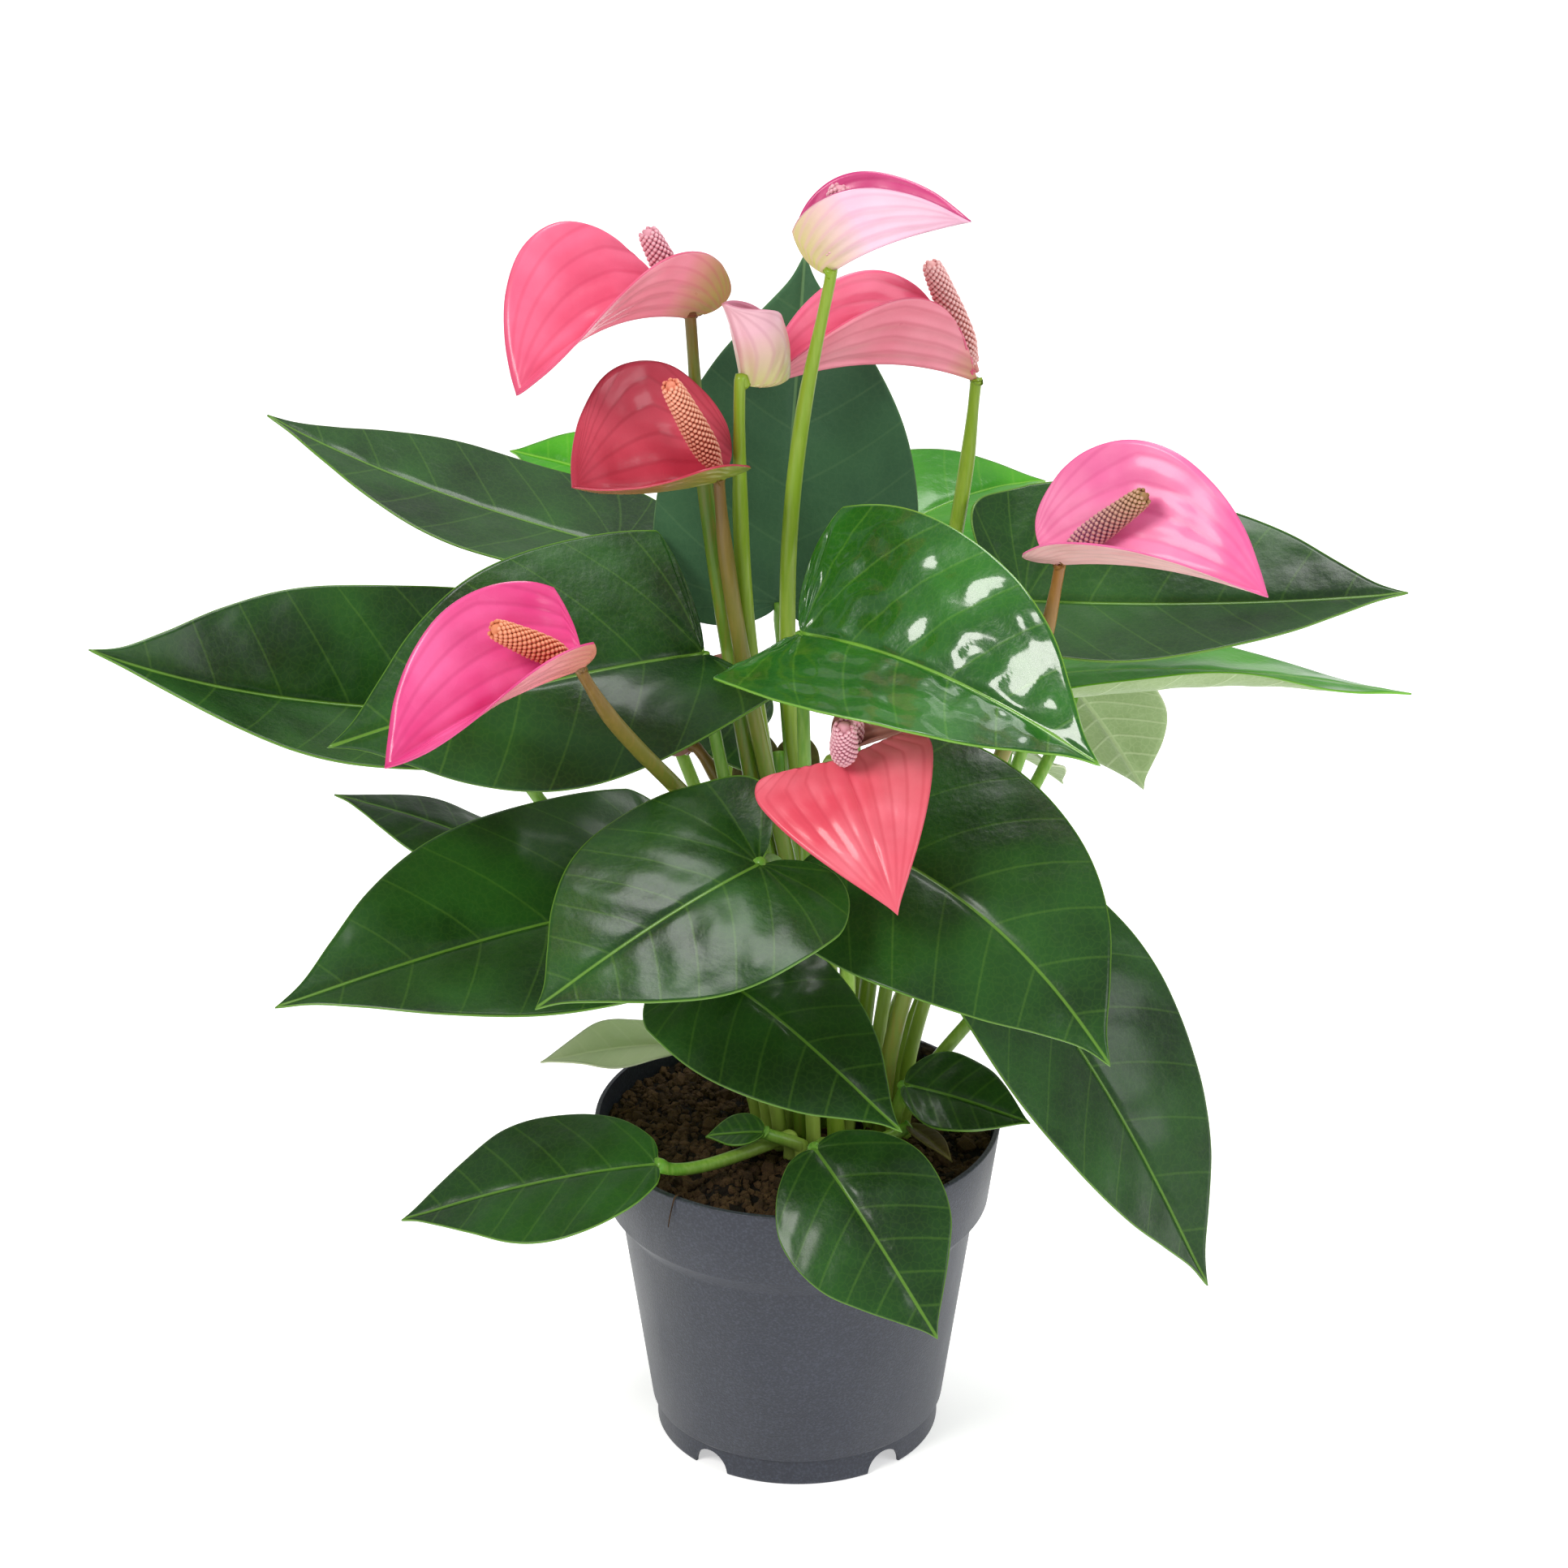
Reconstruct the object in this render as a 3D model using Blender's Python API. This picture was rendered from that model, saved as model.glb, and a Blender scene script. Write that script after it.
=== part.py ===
"""Potted anthurium: a plastic nursery pot, its potting soil, and every leaf and flower of the plant.

Metres, +Z up.  The origin is the middle of the pot's underside, where it stands.
Plant positions are given from the middle of the soil surface, in millimetres.
"""
import math

import bpy
import bmesh
import numpy as np

MM = 0.001

# Pot
RIM_DIAMETER = 120 * MM
POT_HEIGHT = 102 * MM
WALL = 1.4 * MM
RIM_BAND_HEIGHT = 25 * MM
RIM_BAND_TAPER = 3.3 * MM
RIM_STEP = 4.2 * MM
RIM_STEP_HEIGHT = 4.5 * MM
RIM_LIP_ROUND = 0.6 * MM
BODY_TAPER = 8.8 * MM
FOOT_HEIGHT = 9 * MM
FOOT_INSET = 1.5 * MM
FOOT_ROUND = 1.2 * MM
FOOT_STEP = 0.8 * MM
NOTCH_WIDTH = 12 * MM
NOTCH_HEIGHT = 6.5 * MM
NOTCH_ANGLES = (52, 128, 232, 308)
DRAIN_DIAMETER = 8 * MM
DRAIN_CIRCLE = 56 * MM
PAD_DIAMETER = 30 * MM
PAD_FLARE = 2 * MM
POT_SEGMENTS = 40
ARCH_STEPS = 7
DRAIN_SEGMENTS = 12

# Soil
SOIL_DROP = 7 * MM
SOIL_LUMP = 1.2 * MM
CROWN_FLAT = 30 * MM
CLEARANCE = 0.3 * MM

# Plant
PLANT_HEIGHT = 303 * MM
PLANT_HEIGHT_DRAWN = 303
LEAF_THICKNESS = 0.6 * MM
SPATHE_THICKNESS = 0.6 * MM
PETIOLE_DIAMETER = 4.0 * MM
PETIOLE_FOOT_GAIN = 1.25
STALK_DIAMETER = 4.4 * MM
STALK_FOOT_GAIN = 1.2
STALK_TIP_DIAMETER = 2.4 * MM
SPADIX_DIAMETER = 7.0 * MM
SPADIX_SET = 1.5 * MM
SPADIX_STEPS = np.array((0.0, 0.1, 0.35, 0.7, 0.94, 1.0))
SPADIX_SHARES = np.array((0.3, 0.55, 1.0, 0.9, 0.72, 0.3))
STEM_GAP = 1.4 * MM
STEM_PITCH = max(PETIOLE_DIAMETER * PETIOLE_FOOT_GAIN, STALK_DIAMETER * STALK_FOOT_GAIN) + STEM_GAP
CROWN_CENTRE = (8, 4)

SOIL_TOP = POT_HEIGHT - SOIL_DROP
GROWTH = PLANT_HEIGHT / (PLANT_HEIGHT_DRAWN * MM)
RIM_RADIUS = RIM_DIAMETER / 2

STEM_SIDES = 6
STEM_STEPS = 11
BLADE_RINGS = 3
EDGE_STEPS = 9
SIDE_SHIFT = 0.37
SHARP_ANGLE = 40
SETTLE_ROUNDS = 40
SETTLE_EASE = 0.12
SETTLE_GAP = 0.8 * MM

# Half outlines of the two blades, from the notch at the stalk round to the tip.
# x runs along the midrib as a share of its length, y out to the widest margin as 1.
LEAF_OUTLINE = (
    (0.0, 0.0), (-0.11, 0.08), (-0.21, 0.25), (-0.25, 0.47), (-0.20, 0.71), (-0.06, 0.91), (0.13, 1.0),
    (0.33, 0.98), (0.52, 0.85), (0.69, 0.61), (0.82, 0.33), (0.92, 0.11), (1.0, 0.0),
)
YOUNG_OUTLINE = (
    (0.0, 0.0), (-0.02, 0.20), (0.02, 0.45), (0.12, 0.76), (0.26, 0.97), (0.42, 1.0), (0.58, 0.88),
    (0.72, 0.61), (0.85, 0.31), (0.94, 0.10), (1.0, 0.0),
)
SPATHE_OUTLINE = (
    (0.0, 0.0), (-0.10, 0.15), (-0.12, 0.40), (-0.04, 0.68), (0.10, 0.90), (0.28, 1.0), (0.46, 0.95),
    (0.64, 0.75), (0.80, 0.48), (0.92, 0.20), (1.0, 0.0),
)
SHIELD_OUTLINE = (
    (0.0, 0.0), (-0.03, 0.28), (-0.06, 0.60), (-0.06, 0.90), (0.05, 1.0), (0.22, 0.91), (0.42, 0.73),
    (0.62, 0.50), (0.80, 0.26), (0.93, 0.08), (1.0, 0.0),
)
OPEN_OUTLINE = (
    (0.0, 0.0), (0.06, 0.10), (0.13, 0.33), (0.22, 0.62), (0.33, 0.87), (0.46, 0.99), (0.60, 0.92),
    (0.74, 0.69), (0.86, 0.41), (0.95, 0.16), (1.0, 0.0),
)
BLUNT_OUTLINE = (
    (0.0, 0.0), (-0.10, 0.15), (-0.12, 0.40), (-0.04, 0.68), (0.12, 0.92), (0.32, 1.02), (0.54, 1.0),
    (0.74, 0.86), (0.90, 0.58), (0.98, 0.26), (1.0, 0.0),
)

# What a blade does unless its own line says otherwise.  Angles are in degrees, lengths in
# millimetres, and pairs are for its left and right sides or for its stalk and tip ends.
# knee and tip: the two ends of the midrib; facing: where the upper face looks; half: width of each
# side; fold and bend: how a side turns up from the midrib, and on to the margin; open: how much of
# the fold is gone at the tip; rise and sweep: the midrib's bow towards its face and its left, as
# shares of its length; twist: turn about the midrib; heart: depth of the back lobes; lift: their
# upward curl; ripple: height, number and phase of the waves along the margin; root: place in the
# crown; lean and reach: how the stem leaves the crown and arrives; hang: where its last handle lies
# from the knee; tone: its colour; other_outline: the right side's margin where it differs from the
# left's.  A spadix has its length, its direction and its perch above the spathe.
LEAF_HABIT = dict(
    outline=LEAF_OUTLINE, fold=(14, 14), bend=(-12, -12), rise=(0.06, 0.05), sweep=(0, 0), twist=0,
    lift=(0.1, 0.1), heart=0.6, ripple=(1.0, 1.5, 0.0), open=(0, 0), lean=(0.25, 0.45),
    reach=(0.35, 0.30), hang=None, tone="deep",
)
SPATHE_HABIT = dict(
    outline=SPATHE_OUTLINE, fold=(20, 20), bend=(15, 15), rise=(0.08, 0.06), sweep=(0, 0), twist=0,
    lift=(0.2, 0.2), heart=1.0, ripple=(0.5, 1.0, 0.0), open=(0.2, 0.2), lean=(0.2, 0.4),
    reach=(0.35, 0.30), hang=None, perch=0,
)

# Colour and roughness of each kind of leaf
LEAF_TONES = {
    "deep": ((0.03, 0.11, 0.03), 0.35),
    "grey": ((0.05, 0.13, 0.07), 0.5),
    "bright": ((0.07, 0.26, 0.03), 0.25),
    "pale": ((0.27, 0.42, 0.18), 0.45),
    "brown": ((0.16, 0.08, 0.03), 0.6),
}

LEAVES = {
    "leaf_back_upright": dict(
        knee=(-5, 30, 160), tip=(2, 62, 255), facing=(0.0, -1.0, 0.2), half=(38, 38), root=(-1, 3),
        tone="grey", fold=(8, 8), lift=(0.3, 0.3), heart=0.3),
    "leaf_front_centre": dict(
        knee=(1, -22, 174), tip=(82, -80, 161), facing=(0.0, -0.3, 0.95), half=(40, 40), root=(-1, -1),
        tone="bright", fold=(36, 8), bend=(0, 10), rise=(0.11, 0.09), lift=(0.5, 0.2), heart=(0.2, 0.1)),
    "leaf_right_upper": dict(
        knee=(65, 20, 165), tip=(174, 12, 171), facing=(0.0, -0.3, 0.95), half=(38, 36), root=(2, 0),
        fold=(30, 20), bend=(-8, -8), lift=(1.0, 0.3), open=(0.6, 0), rise=(-0.03, -0.03),
        hang=(-22, -8, -30)),
    "leaf_right_lower": dict(
        knee=(71, 28, 138), tip=(178, 25, 133), facing=(0.0, 0.12, 1.0), half=(32, 32), root=(3, 1),
        fold=(2, -30), bend=(20, 75), twist=-25),
    "leaf_right_pale_back": dict(
        knee=(82, 60, 119), tip=(104, 66, 82), facing=(0.3, 0.9, 0.3), half=(22, 22), root=(2, 3),
        tone="pale", hang=(-8, -32, -25)),
    "leaf_right_pale_small": dict(
        knee=(62, 52, 102), tip=(80, 70, 82), facing=(0.2, 0.2, 0.9), half=(11, 11), root=(3, 2),
        tone="pale"),
    "leaf_back_right_bright": dict(
        knee=(16, 55, 164), tip=(74, 95, 170), facing=(-0.05, -0.1, 1.0), half=(32, 30), root=(1, 3),
        tone="bright", fold=(18, 14), lift=(0.2, -0.6), rise=(0.08, 0.12)),
    "leaf_left_top": dict(
        knee=(-53, 50, 169), tip=(-154, 62, 205), facing=(0.3, -0.08, 0.95), half=(33, 33), root=(-2, 1),
        fold=(4, 4), bend=(0, 0), rise=(-0.04, -0.05)),
    "leaf_back_left_pale": dict(
        knee=(-50, 85, 173), tip=(-86, 104, 176), facing=(0.0, -0.3, 0.9), half=(15, 15), root=(0, 4),
        tone="bright"),
    "leaf_left_long": dict(
        knee=(-89, 10, 135), tip=(-199, -20, 168), facing=(0.0, -0.45, 0.9), half=(40, 36), root=(-3, 0),
        fold=(28, 33), bend=(-5, -5), rise=(-0.08, -0.1)),
    "leaf_left_middle": dict(
        knee=(-27, 0, 157.6), tip=(-130, -57, 155.3), facing=(0.0, -0.47, 0.88), half=(37, 42),
        root=(-2, -1),
        fold=(27, 17), bend=(-5, -5), rise=(0.06, 0.05), lift=(0.3, 0.3), heart=(0.1, 0.1), open=(3.0, 0)),
    "leaf_left_behind_small": dict(
        knee=(-82, 30, 77), tip=(-137, 42, 92), facing=(0.0, -0.05, 1.0), half=(17, 17), root=(-3, 1),
        fold=(-3, -3)),
    "leaf_left_lower": dict(
        knee=(-34, -16, 88), tip=(-146, -72, 82), facing=(0.0, -0.36, 0.93), half=(42, 42), root=(-3, -1),
        fold=(14, 14), rise=(0.06, 0.04), heart=(0.4, 0.3)),
    "leaf_front_left": dict(
        knee=(-11, -72, 127), tip=(-71, -122, 108.5), facing=(0.0, -0.42, 0.9), half=(35, 37), root=(-1, -3),
        fold=(6, 4), lift=(0.1, 1.0), heart=0.7, hang=(12, 58, -18)),
    "leaf_front_right": dict(
        knee=(14, -42, 120), tip=(86, -95, 76), facing=(0.0, -0.5, 0.85), half=(42, 38), root=(1, -2),
        fold=(10, 6), rise=(0.14, 0.12), sweep=(0.06, 0.06), heart=0.25),
    "leaf_right_hanging": dict(
        knee_rim=(4, 3, 50), tip_rim=(-9, 63, -47), facing=(0.35, -0.55, 0.75), half=(37, 34), root=(3, -1),
        fold=(10, 20), rise=(0.1, 0.05), heart=0.4),
    "leaf_centre_low": dict(
        knee=(-24, -40, 76), tip=(29, -84, 49), facing=(0.0, -0.55, 0.83), half=(25, 28), root=(-2, -2),
        fold=(-4, 6), rise=(0.14, 0.06), heart=0.5),
    "leaf_left_pale_low": dict(
        knee=(-34, 15, 23), tip_rim=(172, 17, 12), facing=(0.1, -0.1, 1.0), half=(12, 12), root=(-3, 2),
        tone="pale", outline=YOUNG_OUTLINE),
    "leaf_rim_left": dict(
        knee_rim=(226, -1, 8), tip_rim=(201, 63, -10), facing=(0.0, -0.25, 0.97), half=(25, 25),
        root=(-2, -3), fold=(8, 8), outline=YOUNG_OUTLINE, hang=(9, 6, -11)),
    "leaf_rim_front": dict(
        knee_rim=(276, -14, 15), tip_rim=(296, 31, -27), facing=(0.0, -0.7, 0.7), half=(25, 24),
        root=(0, -4),
        fold=(6, 4), rise=(0.14, 0.06), outline=YOUNG_OUTLINE),
    "leaf_soil_right": dict(
        knee_rim=(337, -26, 18), tip_rim=(343, 11, 9), facing=(0.0, -0.4, 0.91), half=(14, 14), root=(3, -2),
        outline=YOUNG_OUTLINE),
    "leaf_bract_narrow": dict(
        knee=(33, -13, 11), tip=(45, -31, 9), facing=(0.2, -0.1, 1.0), half=(4, 4), root=(2, -4),
        tone="brown", outline=YOUNG_OUTLINE, ripple=(0, 1, 0)),
    "leaf_behind_stems": dict(
        knee=(-6, 41, 107), tip=(-9, 37, 72), facing=(0.1, -0.9, 0.4), half=(13, 13), root=(0, 3),
        tone="brown"),
    "leaf_soil_front": dict(
        knee=(-10, -22, 14), tip=(-27, -20, 11), facing=(0.0, -0.2, 0.9), half=(7, 7), root=(-1, -4),
        outline=YOUNG_OUTLINE, ripple=(0, 1, 0)),
    "leaf_middle_left": dict(
        knee=(-14, 36, 116), tip=(-43, 28, 133), facing=(0.0, -0.7, 0.7), half=(14, 14), root=(-2, 2)),
}

FLOWERS = {
    "top": dict(
        knee=(8, -8, 276), tip=(47, -10, 292), facing=(-0.35, 0.05, 0.93), half=(22, 22), root=(0, 0),
        fold=(58, 70), bend=(15, 15), heart=0.4, spadix=20, spadix_way=(0.2, 0.15, 1), hang=(-26, 10, -120)),
    "top_left": dict(
        knee=(-30, 5, 258), tip=(-77, -30, 249), facing=(-0.2, -0.25, 0.95), half=(24, 33), root=(-1, 0),
        other_outline=OPEN_OUTLINE, fold=(70, 40), open=(0.7, 0.2), rise=(0.2, 0.2), spadix=25,
        spadix_way=(-0.45, -0.1, 1),
        hang=(5, -8, -110)),
    "top_right": dict(
        knee=(51, 42, 224), tip=(-11, 10, 235), facing=(0.1, 0.0, 1.0), half=(25, 27), root=(1, 1),
        outline=OPEN_OUTLINE, fold=(68, 62), rise=(0.12, 0.12), heart=0.2, spadix=36,
        spadix_way=(-13, -4, 33)),
    "left": dict(
        knee=(-59, -75, 188), tip=(-111, -100, 170), facing=(0.0, -0.35, 0.94), half=(20, 30), root=(-1, -2),
        fold=(62, 35), open=(0.6, 0.2), heart=0.3, spadix=28, spadix_way=(-24, -12, 17), hang=(17, 24, -52),
        lean=(0, 0), reach=(0.58, 0)),
    "centre_left": dict(
        knee=(-21.5, -13, 217), tip=(-62, -35, 224), facing=(0.0, -0.4, 0.9), half=(24, 36), root=(-1, 1),
        other_outline=BLUNT_OUTLINE, fold=(50, 32), rise=(-0.08, -0.1), spadix=36,
        spadix_way=(-14, -12, 33)),
    "front": dict(
        knee=(12, -62, 154), tip=(27, -95, 123), facing=(0.05, -0.85, 0.5), half=(25, 26), root=(0, -3),
        fold=(-5, -5), bend=(0, 0), outline=SHIELD_OUTLINE, spadix=20, spadix_way=(0, -11, 17),
        hang=(-10, 48, -12)),
    "bud": dict(
        knee=(-15, -8, 243.5), tip=(-20, -10, 268), facing=(0.6, 0.6, 0.2), half=(21, 21), root=(-1, 2),
        heart=0.25, fold=(12, 8), bend=(150, 170), lift=(0, 0), spadix=12,
        spadix_way=(-0.1, -0.2, 1), perch=7,
        hang=(-2, 8, -120)),
    "right": dict(
        knee=(72, -30, 199), tip=(128, -55, 200), facing=(0.0, -0.35, 0.94), half=(34, 16), root=(2, -1),
        fold=(35, 55), rise=(0.1, 0.1), spadix=32, spadix_way=(22, -8, 22)),
    "middle_back": dict(
        knee=(-30, 5, 126), tip=(-14, 7, 156), facing=(-0.6, 0.5, 0.3), half=(15, 15), root=(-2, 0),
        fold=(42, 42), spadix=12, hang=(14, 2, -20), lean=(0, 0), reach=(0.5, 0)),
    "inner": dict(
        knee=(14, 10, 122), tip=(32, 10, 129), facing=(-0.3, -0.3, 0.9), half=(12, 12), root=(1, 0),
        fold=(36, 36), spadix=10),
}


def unit(vector):
    return vector / np.linalg.norm(vector)


def from_soil(point):
    """Millimetres from the middle of the soil surface, grown to the plant's height, to metres."""
    return np.array(point, float) * MM * GROWTH + np.array((0, 0, SOIL_TOP))


def past_rim(place):
    """A place given by its compass angle, and millimetres outside and above the rim, in metres."""
    degrees, outside, above = place
    angle = math.radians(degrees)
    radius = RIM_RADIUS + outside * MM
    return np.array((radius * math.cos(angle), radius * math.sin(angle), POT_HEIGHT + above * MM))


def crown_point(root):
    """Where a stem leaves the crown: a place on a grid one stem pitch wide, just above the soil."""
    column, row = root
    shift = 0.5 * (row % 2)
    x = CROWN_CENTRE[0] * MM + (column + shift) * STEM_PITCH
    y = CROWN_CENTRE[1] * MM + row * STEM_PITCH * math.sin(math.radians(60))
    return np.array((x, y, SOIL_TOP + CLEARANCE))


def cubic(ends, t):
    """Points of a cubic Bezier curve, given its four control points."""
    a, b, c, d = ends
    t = np.asarray(t, float)[..., None]
    s = 1 - t
    return s**3 * a + 3 * s**2 * t * b + 3 * s * t**2 * c + t**3 * d


def cubic_slope(ends, t):
    a, b, c, d = ends
    t = np.asarray(t, float)[..., None]
    s = 1 - t
    return 3 * (s**2 * (b - a) + 2 * s * t * (c - b) + t**2 * (d - c))


def smooth_line(points, count):
    """A Catmull-Rom line through the points, read at evenly spaced steps."""
    points = np.array(points, float)
    padded = np.vstack((2 * points[0] - points[1], points, 2 * points[-1] - points[-2]))
    steps = np.linspace(0, len(points) - 1, count)
    left = np.minimum(steps.astype(int), len(points) - 2)
    t = (steps - left)[:, None]
    p0, p1, p2, p3 = (padded[left + k] for k in range(4))
    return 0.5 * (2 * p1 + (p2 - p0) * t + (2 * p0 - 5 * p1 + 4 * p2 - p3) * t**2
                  + (3 * p1 - p0 - 3 * p2 + p3) * t**3)


def blade_point(form, x, y):
    """Where a point of the flat outline lies once the blade is folded, bowed and rippled."""
    knee = form["knee"]
    face = form["face"]
    chord = form["tip"] - knee
    length = np.linalg.norm(chord)
    side = np.cross(face, form["along"])
    near = form["rise"][0] * face + form["sweep"][0] * side
    far = form["rise"][1] * face + form["sweep"][1] * side
    ends = (knee, knee + chord / 3 + near * length, knee + chord * 2 / 3 + far * length, form["tip"])
    pick = (y < 0).astype(int)
    x = np.where(x < 0, x * np.broadcast_to(form["heart"], 2)[pick], x)
    s = np.clip(x, 0, 1)
    centre = cubic(ends, s) + cubic_slope(ends, np.zeros_like(x)) * np.minimum(x, 0)[..., None]
    tangent = cubic_slope(ends, s)
    tangent /= np.linalg.norm(tangent, axis=-1, keepdims=True)
    up = face - (tangent @ face)[..., None] * tangent
    up /= np.linalg.norm(up, axis=-1, keepdims=True)
    left = np.cross(up, tangent)
    turn = np.radians(form["twist"]) * s[..., None]
    up, left = up * np.cos(turn) - left * np.sin(turn), left * np.cos(turn) + up * np.sin(turn)
    width = np.array(form["half"])[pick] * MM * GROWTH
    fold = np.radians(np.array(form["fold"], float))[pick] * (1 - np.array(form["open"])[pick] * s)
    bend = np.radians(np.array(form["bend"], float))[pick]
    bend = np.where(np.abs(bend) < 1e-3, 1e-3, bend)
    q = np.abs(y)
    across = width * (np.sin(fold + bend * q) - np.sin(fold)) / bend * np.where(y < 0, -1, 1)
    height = width * (np.cos(fold) - np.cos(fold + bend * q)) / bend
    back = np.minimum(x, 0) ** 2
    height = height + np.array(form["lift"])[pick] * back * 4 * length
    amount, waves, phase = form["ripple"]
    wave = np.sin(2 * np.pi * (waves * x + phase + SIDE_SHIFT * pick))
    height = height + amount * MM * GROWTH * q**2 * wave
    return centre + across[..., None] * left + height[..., None] * up


def blade_mesh(name, form):
    """A single sheet of faces fanned out from the stalk end to the margin."""
    half = smooth_line(form["outline"], EDGE_STEPS + 1)[1:]
    other = smooth_line(form.get("other_outline", form["outline"]), EDGE_STEPS + 1)[1:]
    edge = np.vstack((half, other[-2::-1] * (1, -1)))
    shares = np.arange(1, BLADE_RINGS + 1) / BLADE_RINGS
    flat = np.vstack([(0.0, 0.0)] + [edge * share for share in shares])
    places = blade_point(form, flat[:, 0], flat[:, 1])
    count = len(edge)
    faces = [(0, k + 1, k) for k in range(1, count)]
    for ring in range(BLADE_RINGS - 1):
        inner = 1 + ring * count
        outer = inner + count
        for k in range(count - 1):
            faces.append((inner + k, inner + k + 1, outer + k + 1, outer + k))
    mesh = bpy.data.meshes.new(name)
    mesh.from_pydata([tuple(p) for p in places], [], faces)
    return mesh


def tube_mesh(name, path, radii, sides):
    """A closed tube along a path, with its own radius at each point."""
    slope = np.gradient(path, axis=0)
    slope /= np.linalg.norm(slope, axis=1, keepdims=True)
    across = unit(np.cross(slope[0], (0.31, 0.87, 0.38)))
    points = []
    for place, along, radius in zip(path, slope, radii):
        across = unit(across - across.dot(along) * along)
        other = np.cross(along, across)
        for k in range(sides):
            angle = 2 * math.pi * k / sides
            points.append(place + radius * (math.cos(angle) * across + math.sin(angle) * other))
    faces = [tuple(reversed(range(sides)))]
    for ring in range(len(path) - 1):
        for k in range(sides):
            a = ring * sides + k
            b = ring * sides + (k + 1) % sides
            faces.append((a, b, b + sides, a + sides))
    top = (len(path) - 1) * sides
    faces.append(tuple(range(top, top + sides)))
    mesh = bpy.data.meshes.new(name)
    mesh.from_pydata([tuple(p) for p in points], [], faces)
    return mesh


def principled(name, colour, roughness, metallic=0.0):
    material = bpy.data.materials.new(name)
    material.use_nodes = True
    shader = material.node_tree.nodes["Principled BSDF"]
    shader.inputs["Base Color"].default_value = (*colour, 1)
    shader.inputs["Roughness"].default_value = roughness
    shader.inputs["Metallic"].default_value = metallic
    return material


def add_object(name, mesh, material, sharp=SHARP_ANGLE):
    mesh.materials.clear()
    mesh.materials.append(material)
    mesh.shade_smooth()
    mesh.set_sharp_from_angle(angle=math.radians(sharp))
    thing = bpy.data.objects.new(name, mesh)
    bpy.context.scene.collection.objects.link(thing)
    return thing


def apply_boolean(thing, other, operation):
    """Join or cut with an exact Boolean, keep the result as the mesh, and drop the helper."""
    modifier = thing.modifiers.new(operation.lower(), "BOOLEAN")
    modifier.operation = operation
    modifier.solver = "EXACT"
    modifier.object = other
    settled = thing.evaluated_get(bpy.context.evaluated_depsgraph_get())
    mesh = bpy.data.meshes.new_from_object(settled)
    thing.modifiers.clear()
    thing.data = mesh
    bpy.data.objects.remove(other)


def turned_mesh(name, profile, segments):
    """A solid turned about Z from a closed profile of (radius, height) that runs anticlockwise."""
    points = []
    rings = []
    for radius, height in profile:
        if radius < 1e-6:
            rings.append([len(points)])
            points.append((0, 0, height))
            continue
        rings.append(list(range(len(points), len(points) + segments)))
        for k in range(segments):
            angle = 2 * math.pi * k / segments
            points.append((radius * math.cos(angle), radius * math.sin(angle), height))
    faces = []
    for low, high in zip(rings, rings[1:]):
        for k in range(segments):
            n = (k + 1) % segments
            corners = (low[k % len(low)], low[n % len(low)], high[n % len(high)], high[k % len(high)])
            faces.append(tuple(dict.fromkeys(corners)))
    mesh = bpy.data.meshes.new(name)
    mesh.from_pydata(points, [], faces)
    return mesh


# The pot's outside, as radii at its heights
BAND_LOW = POT_HEIGHT - RIM_BAND_HEIGHT
STEP_LOW = BAND_LOW - RIM_STEP_HEIGHT
BAND_LOW_RADIUS = RIM_RADIUS - RIM_BAND_TAPER
BODY_TOP_RADIUS = BAND_LOW_RADIUS - RIM_STEP
BODY_LOW_RADIUS = BODY_TOP_RADIUS - BODY_TAPER
FOOT_RADIUS = BODY_LOW_RADIUS - FOOT_INSET
FLOOR_TOP = FOOT_HEIGHT + WALL
PAD_RADIUS = PAD_DIAMETER / 2


def inside_wall(offset):
    """The inner face of the pot from the floor up to the rim, moved inwards by an offset."""
    inset = WALL + offset
    return (
        (BODY_LOW_RADIUS - inset, FLOOR_TOP + offset),
        (BODY_TOP_RADIUS - inset, STEP_LOW + offset),
        (BAND_LOW_RADIUS - inset, BAND_LOW + offset),
    )


def build_pot():
    profile = [
        (0, 0),
        (PAD_RADIUS, 0),
        (PAD_RADIUS + PAD_FLARE, FOOT_HEIGHT),
        (FOOT_RADIUS - WALL, FOOT_HEIGHT),
        (FOOT_RADIUS - WALL, 0),
        (FOOT_RADIUS - FOOT_ROUND / 2, 0),
        (FOOT_RADIUS, FOOT_ROUND),
        (FOOT_RADIUS, FOOT_HEIGHT - FOOT_STEP),
        (BODY_LOW_RADIUS, FOOT_HEIGHT),
        (BODY_TOP_RADIUS, STEP_LOW),
        (BAND_LOW_RADIUS, BAND_LOW),
        (RIM_RADIUS, POT_HEIGHT - RIM_LIP_ROUND),
        (RIM_RADIUS - RIM_LIP_ROUND, POT_HEIGHT),
        (RIM_RADIUS - WALL, POT_HEIGHT),
        *reversed(inside_wall(0)),
        (PAD_RADIUS + PAD_FLARE - WALL, FLOOR_TOP),
        (PAD_RADIUS - WALL, WALL),
        (0, WALL),
    ]
    plastic = principled("dark_polypropylene", (0.075, 0.08, 0.105), 0.45)
    pot = add_object("pot", turned_mesh("pot", profile, POT_SEGMENTS), plastic, sharp=25)
    apply_boolean(pot, pot_cutters(), "DIFFERENCE")


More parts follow.
